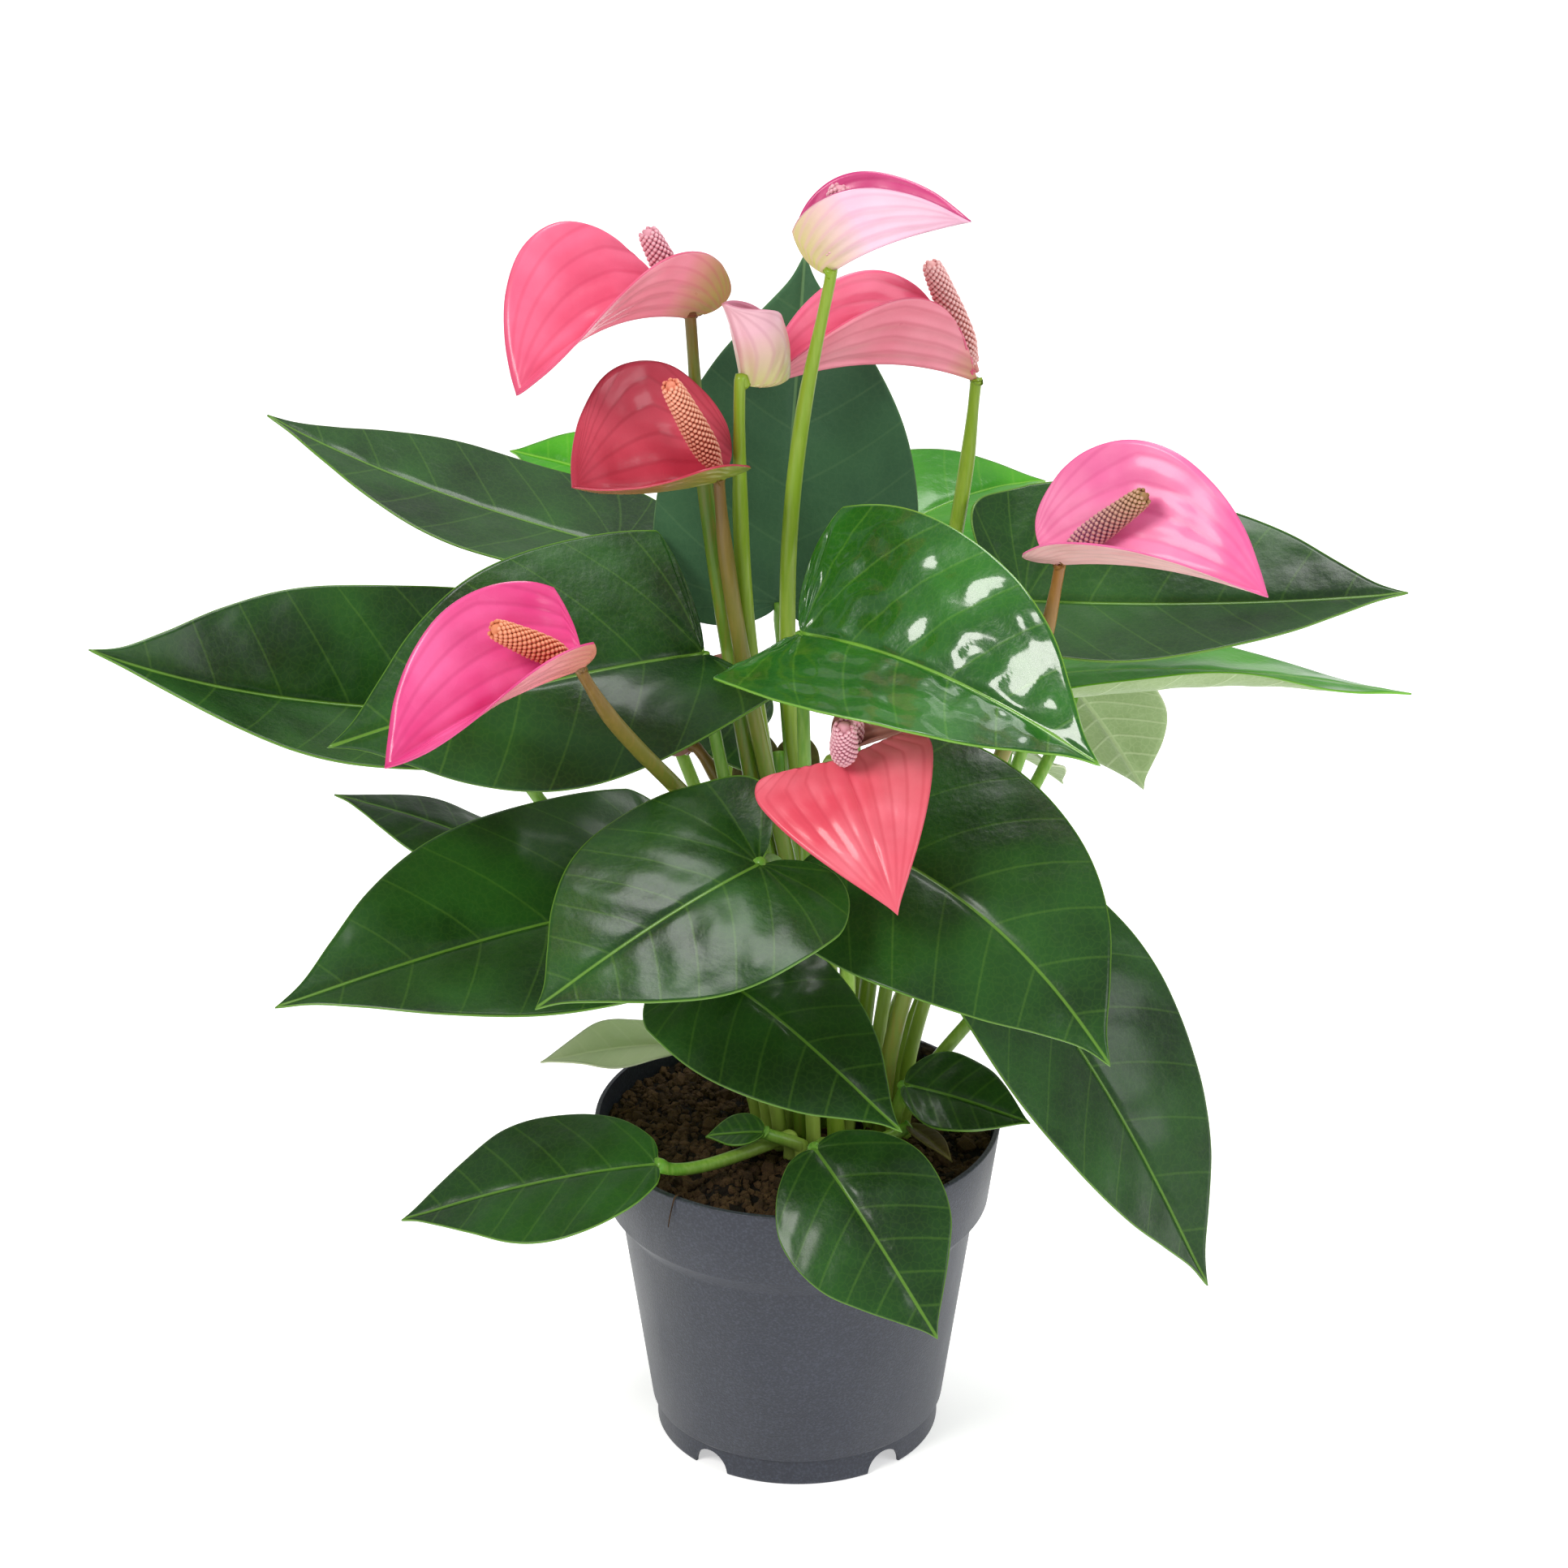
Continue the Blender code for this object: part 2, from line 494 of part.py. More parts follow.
def pot_cutters():
    """Water channels through the foot ring, and drain holes in the floor beside them."""
    work = bmesh.new()
    for degrees in NOTCH_ANGLES:
        angle = math.radians(degrees)
        out = np.array((math.cos(angle), math.sin(angle), 0))
        across = np.array((-math.sin(angle), math.cos(angle), 0))
        near = FOOT_RADIUS - 3 * WALL
        far = FOOT_RADIUS + 3 * WALL
        half = NOTCH_WIDTH / 2
        turns = np.linspace(0, math.pi, ARCH_STEPS)
        arch = [(half, -NOTCH_HEIGHT)]
        arch += [(half * math.cos(turn), NOTCH_HEIGHT * math.sin(turn)) for turn in turns]
        arch += [(-half, -NOTCH_HEIGHT)]
        inner = [work.verts.new(out * near + across * u + np.array((0, 0, z))) for u, z in arch]
        outer = [work.verts.new(out * far + across * u + np.array((0, 0, z))) for u, z in arch]
        work.faces.new(inner)
        work.faces.new(outer[::-1])
        for k in range(len(arch)):
            n = (k + 1) % len(arch)
            work.faces.new((inner[n], inner[k], outer[k], outer[n]))
        hole = bmesh.ops.create_cone(
            work, cap_ends=True, segments=DRAIN_SEGMENTS, depth=4 * WALL,
            radius1=DRAIN_DIAMETER / 2, radius2=DRAIN_DIAMETER / 2)
        centre = out * DRAIN_CIRCLE / 2 + np.array((0, 0, FOOT_HEIGHT + WALL / 2))
        bmesh.ops.translate(work, verts=hole["verts"], vec=centre)
    bmesh.ops.recalc_face_normals(work, faces=work.faces)
    mesh = bpy.data.meshes.new("cutters")
    work.to_mesh(mesh)
    work.free()
    cutter = bpy.data.objects.new("cutters", mesh)
    bpy.context.scene.collection.objects.link(cutter)
    return cutter


def build_soil():
    """Peat that fills the pot: level round the crown, slightly lumpy out to the wall."""
    wall = inside_wall(CLEARANCE)
    band_slope = RIM_BAND_TAPER / (RIM_BAND_HEIGHT - RIM_LIP_ROUND)
    edge_radius = wall[-1][0] + (SOIL_TOP - BAND_LOW - CLEARANCE) * band_slope
    pad = PAD_RADIUS - WALL - CLEARANCE
    profile = [
        (0, WALL + CLEARANCE),
        (pad, WALL + CLEARANCE),
        (pad + PAD_FLARE, FLOOR_TOP + CLEARANCE),
        *wall,
        (edge_radius, SOIL_TOP),
    ]
    rings = np.linspace(edge_radius, CROWN_FLAT, 4)[1:]
    profile += [(radius, SOIL_TOP) for radius in rings]
    profile += [(0, SOIL_TOP)]
    mesh = turned_mesh("potting_soil", profile, POT_SEGMENTS)
    for corner in mesh.vertices:
        x, y, z = corner.co
        radius = math.hypot(x, y)
        if z < SOIL_TOP - CLEARANCE or radius < CROWN_FLAT + CLEARANCE or radius > edge_radius - CLEARANCE:
            continue
        angle = math.atan2(y, x)
        corner.co.z -= SOIL_LUMP * (1 + math.sin(5 * angle + radius / MM) * math.cos(3 * angle)) / 2
    add_object("potting_soil", mesh, principled("peat", (0.045, 0.028, 0.02), 0.95), sharp=60)


def stem_path(form, end):
    """From the crown up to the blade: straight out of the soil, leaning out, in from below at the end."""
    foot = crown_point(form["root"])
    start = foot + np.array((0, 0, STEM_PITCH))
    run = end - start
    level = run * (1, 1, 0)
    climb = run * (0, 0, 1)
    lean_low, lean_high = form["lean"]
    low = start + form["reach"][0] * (climb + level * lean_low)
    if form["hang"] is None:
        high = end - form["reach"][1] * (climb + level * lean_high)
    else:
        high = end + np.array(form["hang"], float) * MM * GROWTH
    curve = cubic((start, low, high, end), np.linspace(0, 1, STEM_STEPS - 1))
    return np.vstack((foot, curve))


def settle_stems(paths, radii):
    """Push stems that cross apart sideways until they clear, holding their feet and their tops."""
    paths = np.array(paths)
    radii = np.array(radii)
    slots = np.linspace(0, STEM_STEPS - 1, 4 * (STEM_STEPS - 1) + 1)
    low = np.minimum(slots.astype(int), STEM_STEPS - 2)
    share = slots - low
    thick = radii[:, low] * (1 - share) + radii[:, low + 1] * share
    first, second = np.triu_indices(len(paths), 1)
    reach = thick[first][:, :, None] + thick[second][:, None, :] + SETTLE_GAP
    for _ in range(SETTLE_ROUNDS):
        moved = np.zeros_like(paths)
        places = paths[:, low] * (1 - share)[:, None] + paths[:, low + 1] * share[:, None]
        apart = places[first][:, :, None] - places[second][:, None, :]
        span = np.linalg.norm(apart, axis=-1)
        for pair, a, b in zip(*np.nonzero(span < reach)):
            push = apart[pair, a, b] / max(span[pair, a, b], CLEARANCE / 10)
            push = push * (reach[pair, a, b] - span[pair, a, b]) * SETTLE_EASE
            for stem, slot, way in ((first[pair], a, push), (second[pair], b, -push)):
                moved[stem, low[slot]] += way * (1 - share[slot])
                moved[stem, low[slot] + 1] += way * share[slot]
        moved[:, :2] = 0
        moved[:, -1] = 0
        moved[:, 2:-1] = 0.5 * moved[:, 2:-1] + 0.25 * (moved[:, 1:-2] + moved[:, 3:])
        paths = paths + moved
    return paths


def placed(own, habit):
    form = {**habit, **own}
    for end in ("knee", "tip"):
        if end + "_rim" in own:
            form[end] = past_rim(own[end + "_rim"])
        else:
            form[end] = from_soil(own[end])
    chord = form["tip"] - form["knee"]
    form["along"] = unit(chord)
    facing = np.array(form["facing"], float)
    form["face"] = unit(facing - facing.dot(form["along"]) * form["along"])
    return form


def add_sheet(name, form, thickness, material):
    """The blade as a closed sheet of even thickness."""
    thing = add_object(name, blade_mesh(name, form), material)
    thicken = thing.modifiers.new("thickness", "SOLIDIFY")
    thicken.thickness = thickness
    thicken.offset = 0
    return thing


def build_leaf(name, form, path, radii, material):
    """Blade and petiole in one piece, as a leaf grows."""
    blade = add_sheet(name, form, LEAF_THICKNESS, material)
    petiole = add_object(name + "_petiole", tube_mesh(name, path, radii, STEM_SIDES), material)
    apply_boolean(blade, petiole, "UNION")
    blade.data.shade_smooth()
    blade.data.set_sharp_from_angle(angle=math.radians(SHARP_ANGLE))


def build_flower(name, form, path, radii, materials):
    """Stalk, spathe and spadix, meeting one clearance apart."""
    add_sheet("spathe_" + name, form, SPATHE_THICKNESS, materials["spathe"])
    stalk = tube_mesh(name, path, radii, STEM_SIDES)
    add_object("flower_stalk_" + name, stalk, materials["stalk"])
    lean = unit(np.array(form.get("spadix_way", form["face"] + 0.5 * form["along"]), float))
    length = form["spadix"] * MM * GROWTH
    thin = SPADIX_DIAMETER / 2 * SPADIX_SHARES[0] + SPATHE_THICKNESS / 2 + CLEARANCE
    above = max(thin / math.cos(math.radians(max(form["fold"]))), form["perch"] * MM)
    foot = form["knee"] + form["face"] * above + form["along"] * SPADIX_SET
    path = foot + SPADIX_STEPS[:, None] * length * lean
    spadix = tube_mesh(name, path, SPADIX_DIAMETER / 2 * SPADIX_SHARES, STEM_SIDES + 2)
    add_object("spadix_" + name, spadix, materials["spadix"])


def plan_plant():
    """Every blade's form and the line of its stem, with the stems settled clear of one another."""
    leaves = {name: placed(own, LEAF_HABIT) for name, own in LEAVES.items()}
    flowers = {name: placed(own, SPATHE_HABIT) for name, own in FLOWERS.items()}
    gap = SPATHE_THICKNESS / 2 + CLEARANCE + STALK_TIP_DIAMETER / 2
    petiole = PETIOLE_DIAMETER / 2 * np.linspace(PETIOLE_FOOT_GAIN, 1, STEM_STEPS)
    stalk = STALK_DIAMETER / 2 * np.linspace(STALK_FOOT_GAIN, 1, STEM_STEPS)
    stalk[-1] = STALK_TIP_DIAMETER / 2
    paths = [stem_path(form, form["knee"]) for form in leaves.values()]
    paths += [stem_path(form, form["knee"] - gap * form["face"]) for form in flowers.values()]
    radii = [petiole] * len(leaves) + [stalk] * len(flowers)
    settled = settle_stems(paths, radii)
    for form, path, radius in zip((*leaves.values(), *flowers.values()), settled, radii):
        form["path"] = path
        form["radii"] = radius
    return leaves, flowers


def main():
    for thing in list(bpy.data.objects):
        bpy.data.objects.remove(thing)
    build_pot()
    build_soil()
    leaves, flowers = plan_plant()
    tones = {tone: principled("leaf_" + tone, *look) for tone, look in LEAF_TONES.items()}
    for name, form in leaves.items():
        build_leaf(name, form, form["path"], form["radii"], tones[form["tone"]])
    flower = {
        "spathe": principled("spathe_pink", (0.80, 0.16, 0.24), 0.3),
        "stalk": principled("stalk_green", (0.16, 0.30, 0.04), 0.45),
        "spadix": principled("spadix_orange", (0.65, 0.28, 0.16), 0.6),
    }
    for name, form in flowers.items():
        build_flower(name, form, form["path"], form["radii"], flower)


if __name__ == "__main__":
    main()
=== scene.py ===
import math

import bpy
import bmesh
import numpy as np
from mathutils import Matrix, Vector


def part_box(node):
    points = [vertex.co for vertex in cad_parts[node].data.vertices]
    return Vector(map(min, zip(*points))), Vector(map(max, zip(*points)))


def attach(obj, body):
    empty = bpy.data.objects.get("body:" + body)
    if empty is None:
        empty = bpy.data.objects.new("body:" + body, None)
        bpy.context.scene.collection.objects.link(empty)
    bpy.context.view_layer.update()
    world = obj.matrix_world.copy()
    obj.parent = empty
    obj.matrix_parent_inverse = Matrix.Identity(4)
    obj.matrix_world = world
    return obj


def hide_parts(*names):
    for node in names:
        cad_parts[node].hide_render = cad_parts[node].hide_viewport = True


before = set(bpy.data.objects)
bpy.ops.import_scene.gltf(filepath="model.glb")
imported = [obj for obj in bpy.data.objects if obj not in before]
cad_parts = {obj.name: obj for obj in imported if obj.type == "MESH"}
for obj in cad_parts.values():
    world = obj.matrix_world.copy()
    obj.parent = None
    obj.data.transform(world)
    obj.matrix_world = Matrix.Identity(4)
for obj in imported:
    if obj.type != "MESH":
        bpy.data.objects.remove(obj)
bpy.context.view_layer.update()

mm = 0.001
print("frame loaded:", len(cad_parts), "solids")

# The pot and soil solids give the sizes that everything else hangs on.
potHigh = np.array(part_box("pot")[1])
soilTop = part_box("potting_soil")[1].z
potHeight = potHigh[2]
rimRadius = potHigh[0]
clearance = 0.3 * mm


# Helpers that the pieces share

def unit(vector):
    return vector / np.linalg.norm(vector)


def linear(hexColour):
    # sRGB hex to the linear colour that a shader reads
    parts = [int(hexColour[k:k + 2], 16) / 255 for k in (1, 3, 5)]
    return (*[c / 12.92 if c <= 0.04045 else ((c + 0.055) / 1.055) ** 2.4 for c in parts], 1.0)


def addNode(tree, kind, sets=None, links=None):
    # one node, with its settings (inputs by name or number, the rest as properties) and its links
    made = tree.nodes.new(kind)
    for key, value in (sets or {}).items():
        if isinstance(key, int) or key in made.inputs:
            made.inputs[key].default_value = value
        else:
            setattr(made, key, value)
    for key, source in (links or {}).items():
        tree.links.new(source, made.inputs[key])
    return made


def newMaterial(name, values):
    # an empty material with its shader; values are the shader's constant sockets
    material = bpy.data.materials.new(name)
    material.use_nodes = True
    tree = material.node_tree
    shader = tree.nodes["Principled BSDF"]
    for key, value in values.items():
        shader.inputs[key].default_value = value
    return material, tree, shader


def meshFrom(name, points, faces, materials, slots=None, numbers=None):
    mesh = bpy.data.meshes.new(name)
    mesh.from_pydata([tuple(p) for p in points], [], faces)
    for material in materials:
        mesh.materials.append(material)
    if slots is not None:
        mesh.polygons.foreach_set("material_index", slots)
    for key, values in (numbers or {}).items():
        mesh.attributes.new(key, "FLOAT", "POINT").data.foreach_set("value", np.asarray(values, np.float32))
    mesh.shade_smooth()
    return mesh


def addPiece(mesh, slot, *nodes):
    # a finished piece at the origin, riding on the plant's one body and standing for its solids
    thing = bpy.data.objects.new(mesh.name, mesh)
    bpy.context.scene.collection.objects.link(thing)
    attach(thing, "root")
    if nodes:
        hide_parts(*nodes)
    return thing


def settle(thing):
    # the evaluated object as a plain mesh; the modifiers go
    graph = bpy.context.evaluated_depsgraph_get()
    made = bpy.data.meshes.new_from_object(thing.evaluated_get(graph))
    thing.modifiers.clear()
    thing.data = made
    return made


def cubic(ends, t):
    a, b, c, d = ends
    t = np.asarray(t, float)[..., None]
    s = 1 - t
    return s**3 * a + 3 * s**2 * t * b + 3 * s * t**2 * c + t**3 * d


def cubicSlope(ends, t):
    a, b, c, d = ends
    t = np.asarray(t, float)[..., None]
    s = 1 - t
    return 3 * (s**2 * (b - a) + 2 * s * t * (c - b) + t**2 * (d - c))


def smoothLine(points, count):
    # a Catmull-Rom line through the points, read at even steps
    points = np.array(points, float)
    padded = np.vstack((2 * points[0] - points[1], points, 2 * points[-1] - points[-2]))
    steps = np.linspace(0, len(points) - 1, count)
    left = np.minimum(steps.astype(int), len(points) - 2)
    t = (steps - left)[:, None]
    p0, p1, p2, p3 = (padded[left + k] for k in range(4))
    return 0.5 * (2 * p1 + (p2 - p0) * t + (2 * p0 - 5 * p1 + 4 * p2 - p3) * t**2
                  + (3 * p1 - p0 - 3 * p2 + p3) * t**3)


# The plant's layout, as in its solids: millimetres from the middle of the soil surface

crown = dict(centre=(8, 4), pitch=6.68, rise=math.sin(math.radians(60)))
stems = dict(
    petiole=4.0, petioleFoot=1.25, stalk=4.4, stalkFoot=1.2, stalkTip=2.4, steps=11,
    settleRounds=40, settleEase=0.12, settleGap=0.8)
sheets = dict(thickness=0.6)

heartOutline = (
    (0.0, 0.0), (-0.11, 0.08), (-0.21, 0.25), (-0.25, 0.47), (-0.20, 0.71), (-0.06, 0.91), (0.13, 1.0),
    (0.33, 0.98), (0.52, 0.85), (0.69, 0.61), (0.82, 0.33), (0.92, 0.11), (1.0, 0.0),
)
youngOutline = (
    (0.0, 0.0), (-0.02, 0.20), (0.02, 0.45), (0.12, 0.76), (0.26, 0.97), (0.42, 1.0), (0.58, 0.88),
    (0.72, 0.61), (0.85, 0.31), (0.94, 0.10), (1.0, 0.0),
)
spatheOutline = (
    (0.0, 0.0), (-0.10, 0.15), (-0.12, 0.40), (-0.04, 0.68), (0.10, 0.90), (0.28, 1.0), (0.46, 0.95),
    (0.64, 0.75), (0.80, 0.48), (0.92, 0.20), (1.0, 0.0),
)
shieldOutline = (
    (0.0, 0.0), (-0.03, 0.28), (-0.06, 0.60), (-0.06, 0.90), (0.05, 1.0), (0.22, 0.91), (0.42, 0.73),
    (0.62, 0.50), (0.80, 0.26), (0.93, 0.08), (1.0, 0.0),
)

openOutline = (
    (0.0, 0.0), (0.06, 0.10), (0.13, 0.33), (0.22, 0.62), (0.33, 0.87), (0.46, 0.99), (0.60, 0.92),
    (0.74, 0.69), (0.86, 0.41), (0.95, 0.16), (1.0, 0.0),
)
bluntOutline = (
    (0.0, 0.0), (-0.10, 0.15), (-0.12, 0.40), (-0.04, 0.68), (0.12, 0.92), (0.32, 1.02), (0.54, 1.0),
    (0.74, 0.86), (0.90, 0.58), (0.98, 0.26), (1.0, 0.0),
)

# Pairs are for the left and right side, or the stalk and tip end; angles are in degrees.
leafHabit = dict(
    outline=heartOutline, fold=(14, 14), bend=(-12, -12), rise=(0.06, 0.05), sweep=(0, 0), twist=0,
    lift=(0.1, 0.1), heart=0.6, ripple=(1.0, 1.5, 0.0), open=(0, 0), lean=(0.25, 0.45),
    reach=(0.35, 0.30), hang=None, tone="deep", pucker=0.12, uneven=0.13, waves=(23, 15, 9),
)
spatheHabit = dict(
    outline=spatheOutline, fold=(20, 20), bend=(15, 15), rise=(0.08, 0.06), sweep=(0, 0), twist=0,
    lift=(0.2, 0.2), heart=1.0, ripple=(0.5, 1.0, 0.0), open=(0.2, 0.2), lean=(0.2, 0.4),
    reach=(0.35, 0.30), hang=None, perch=0, tone="pink", pucker=0.16, uneven=0.22, waves=(17, 11, 7),
    stalk="green",
)

leafTable = {
    "leaf_back_upright": dict(
        knee=(-5, 30, 160), tip=(2, 62, 255), facing=(0.0, -1.0, 0.2), half=(38, 38), root=(-1, 3),
        tone="grey", fold=(8, 8), lift=(0.3, 0.3), heart=0.3),
    "leaf_front_centre": dict(
        look="glossy", pucker=0.3, uneven=0.38, waves=(17, 10, 7), knee=(1, -22, 174), tip=(82, -80, 161),
        facing=(0.0, -0.3, 0.95), half=(40, 40), root=(-1, -1),
        tone="bright", fold=(36, 8), bend=(0, 10), rise=(0.11, 0.09), lift=(0.5, 0.2), heart=(0.2, 0.1)),
    "leaf_right_upper": dict(
        knee=(65, 20, 165), tip=(174, 12, 171), facing=(0.0, -0.3, 0.95), half=(38, 36), root=(2, 0),
        fold=(30, 20), bend=(-8, -8), lift=(1.0, 0.3), open=(0.6, 0), rise=(-0.03, -0.03),
        hang=(-22, -8, -30)),
    "leaf_right_lower": dict(
        look="bright", knee=(71, 28, 138), tip=(178, 25, 133), facing=(0.0, 0.12, 1.0), half=(32, 32),
        root=(3, 1), fold=(2, -30), bend=(20, 75), twist=-25),
    "leaf_right_pale_back": dict(
        knee=(82, 60, 119), tip=(104, 66, 82), facing=(0.3, 0.9, 0.3), half=(22, 22), root=(2, 3),
        tone="pale", hang=(-8, -32, -25)),
    "leaf_right_pale_small": dict(
        knee=(62, 52, 102), tip=(80, 70, 82), facing=(0.2, 0.2, 0.9), half=(11, 11), root=(3, 2),
        tone="pale"),
    "leaf_back_right_bright": dict(
        knee=(16, 55, 164), tip=(74, 95, 170), facing=(-0.05, -0.1, 1.0), half=(32, 30), root=(1, 3),
        tone="bright", fold=(18, 14), lift=(0.2, -0.6), rise=(0.08, 0.12)),
    "leaf_left_top": dict(
        knee=(-53, 50, 169), tip=(-154, 62, 205), facing=(0.3, -0.08, 0.95), half=(33, 33), root=(-2, 1),
        fold=(4, 4), bend=(0, 0), rise=(-0.04, -0.05)),
    "leaf_back_left_pale": dict(
        knee=(-50, 85, 173), tip=(-86, 104, 176), facing=(0.0, -0.3, 0.9), half=(15, 15), root=(0, 4),
        tone="bright"),
    "leaf_left_long": dict(
        knee=(-89, 10, 135), tip=(-199, -20, 168), facing=(0.0, -0.45, 0.9), half=(40, 36), root=(-3, 0),
        fold=(28, 33), bend=(-5, -5), rise=(-0.08, -0.1)),
    "leaf_left_middle": dict(
        knee=(-27, 0, 157.6), tip=(-130, -57, 155.3), facing=(0.0, -0.47, 0.88), half=(37, 42),
        root=(-2, -1),
        fold=(27, 17), bend=(-5, -5), rise=(0.06, 0.05), lift=(0.3, 0.3), heart=(0.1, 0.1), open=(3.0, 0)),
    "leaf_left_behind_small": dict(
        knee=(-82, 30, 77), tip=(-137, 42, 92), facing=(0.0, -0.05, 1.0), half=(17, 17), root=(-3, 1),
        fold=(-3, -3)),
    "leaf_left_lower": dict(
        knee=(-34, -16, 88), tip=(-146, -72, 82), facing=(0.0, -0.36, 0.93), half=(42, 42), root=(-3, -1),
        fold=(14, 14), rise=(0.06, 0.04), heart=(0.4, 0.3)),
    "leaf_front_left": dict(
        knee=(-11, -72, 127), tip=(-71, -122, 108.5), facing=(0.0, -0.42, 0.9), half=(35, 37), root=(-1, -3),
        fold=(6, 4), lift=(0.1, 1.0), heart=0.7, hang=(12, 58, -18)),
    "leaf_front_right": dict(
        knee=(14, -42, 120), tip=(86, -95, 76), facing=(0.0, -0.5, 0.85), half=(42, 38), root=(1, -2),
        fold=(10, 6), rise=(0.14, 0.12), sweep=(0.06, 0.06), heart=0.25),
    "leaf_right_hanging": dict(
        kneeRim=(4, 3, 50), tipRim=(-9, 63, -47), facing=(0.35, -0.55, 0.75), half=(37, 34), root=(3, -1),
        fold=(10, 20), rise=(0.1, 0.05), heart=0.4),
    "leaf_centre_low": dict(
        knee=(-24, -40, 76), tip=(29, -84, 49), facing=(0.0, -0.55, 0.83), half=(25, 28), root=(-2, -2),
        fold=(-4, 6), rise=(0.14, 0.06), heart=0.5),
    "leaf_left_pale_low": dict(
        knee=(-34, 15, 23), tipRim=(172, 17, 12), facing=(0.1, -0.1, 1.0), half=(12, 12), root=(-3, 2),
        tone="pale", outline=youngOutline),
    "leaf_rim_left": dict(
        kneeRim=(226, -1, 8), tipRim=(201, 63, -10), facing=(0.0, -0.25, 0.97), half=(25, 25),
        root=(-2, -3), fold=(8, 8), outline=youngOutline, hang=(9, 6, -11)),
    "leaf_rim_front": dict(
        kneeRim=(276, -14, 15), tipRim=(296, 31, -27), facing=(0.0, -0.7, 0.7), half=(25, 24), root=(0, -4),
        fold=(6, 4), rise=(0.14, 0.06), outline=youngOutline),
    "leaf_soil_right": dict(
        kneeRim=(337, -26, 18), tipRim=(343, 11, 9), facing=(0.0, -0.4, 0.91), half=(14, 14), root=(3, -2),
        outline=youngOutline),
    "leaf_bract_narrow": dict(
        knee=(33, -13, 11), tip=(45, -31, 9), facing=(0.2, -0.1, 1.0), half=(4, 4), root=(2, -4),
        tone="brown", outline=youngOutline, ripple=(0, 1, 0)),
    "leaf_behind_stems": dict(
        knee=(-6, 41, 107), tip=(-9, 37, 72), facing=(0.1, -0.9, 0.4), half=(13, 13), root=(0, 3),
        tone="brown"),
    "leaf_soil_front": dict(
        knee=(-10, -22, 14), tip=(-27, -20, 11), facing=(0.0, -0.2, 0.9), half=(7, 7), root=(-1, -4),
        outline=youngOutline, ripple=(0, 1, 0)),
    "leaf_middle_left": dict(
        knee=(-14, 36, 116), tip=(-43, 28, 133), facing=(0.0, -0.7, 0.7), half=(14, 14), root=(-2, 2)),
}

flowerTable = {
    "top": dict(
        tone="magenta", spike="lilac", knee=(8, -8, 276), tip=(47, -10, 292), facing=(-0.35, 0.05, 0.93),
        half=(22, 22), root=(0, 0),
        fold=(58, 70), bend=(15, 15), heart=0.4, spadix=20, spadixWay=(0.2, 0.15, 1), hang=(-26, 10, -120)),
    "top_left": dict(
        tone="pink", spike="lilac", stalk="russet", knee=(-30, 5, 258), tip=(-77, -30, 249),
        facing=(-0.2, -0.25, 0.95), half=(24, 33), root=(-1, 0),
        otherOutline=openOutline, fold=(70, 40), open=(0.7, 0.2), rise=(0.2, 0.2), spadix=25,
        spadixWay=(-0.45, -0.1, 1),
        hang=(5, -8, -110)),
    "top_right": dict(
        tone="pink", spike="rosy", knee=(51, 42, 224), tip=(-11, 10, 235), facing=(0.1, 0.0, 1.0),
        half=(25, 27), root=(1, 1),
        outline=openOutline, fold=(68, 62), rise=(0.12, 0.12), heart=0.2, spadix=36,
        spadixWay=(-13, -4, 33)),
    "left": dict(
        tone="rose", spike="orange", stalk="brown", knee=(-59, -75, 188), tip=(-111, -100, 170),
        facing=(0.0, -0.35, 0.94), half=(20, 30), root=(-1, -2),
        fold=(62, 35), open=(0.6, 0.2), heart=0.3, spadix=28, spadixWay=(-24, -12, 17), hang=(17, 24, -52),
        lean=(0, 0), reach=(0.58, 0)),
    "centre_left": dict(
        tone="deep", spike="peach", stalk="brown", knee=(-21.5, -13, 217), tip=(-62, -35, 224),
        facing=(0.0, -0.4, 0.9), half=(24, 36), root=(-1, 1),
        otherOutline=bluntOutline, fold=(50, 32), rise=(-0.08, -0.1), spadix=36, spadixWay=(-14, -12, 33)),
    "front": dict(
        tone="coral", spike="lilac", knee=(12, -62, 154), tip=(27, -95, 123), facing=(0.05, -0.85, 0.5),
        half=(25, 26), root=(0, -3),
        fold=(-5, -5), bend=(0, 0), outline=shieldOutline, spadix=20, spadixWay=(0, -11, 17),
        hang=(-10, 48, -12)),
    "bud": dict(
        tone="bud", spike="lilac", knee=(-15, -8, 243.5), tip=(-20, -10, 268), facing=(0.6, 0.6, 0.2),
        half=(21, 21), root=(-1, 2),
        heart=0.25, fold=(12, 8), bend=(150, 170), lift=(0, 0), spadix=12, spadixWay=(-0.1, -0.2, 1),
        perch=7,
        hang=(-2, 8, -120)),
    "right": dict(
        tone="orchid", spike="olive", stalk="amber", knee=(72, -30, 199), tip=(128, -55, 200),
        facing=(0.0, -0.35, 0.94), half=(34, 16), root=(2, -1),
        fold=(35, 55), rise=(0.1, 0.1), spadix=32, spadixWay=(22, -8, 22)),
    "middle_back": dict(
        tone="dull", spike="peach", stalk="brown", knee=(-30, 5, 126), tip=(-14, 7, 156),
        facing=(-0.6, 0.5, 0.3), half=(15, 15), root=(-2, 0),
        fold=(42, 42), spadix=12, hang=(14, 2, -20), lean=(0, 0), reach=(0.5, 0)),
    "inner": dict(
        tone="dull", spike="lilac", knee=(14, 10, 122), tip=(32, 10, 129), facing=(-0.3, -0.3, 0.9),
        half=(12, 12), root=(1, 0),
        fold=(36, 36), spadix=10),
}


def fromSoil(point):
    return np.array(point, float) * mm + np.array((0, 0, soilTop))


def pastRim(place):
    # compass angle, then millimetres outside and above the rim
    degrees, outside, above = place
    angle = math.radians(degrees)
    radius = rimRadius + outside * mm
    return np.array((radius * math.cos(angle), radius * math.sin(angle), potHeight + above * mm))


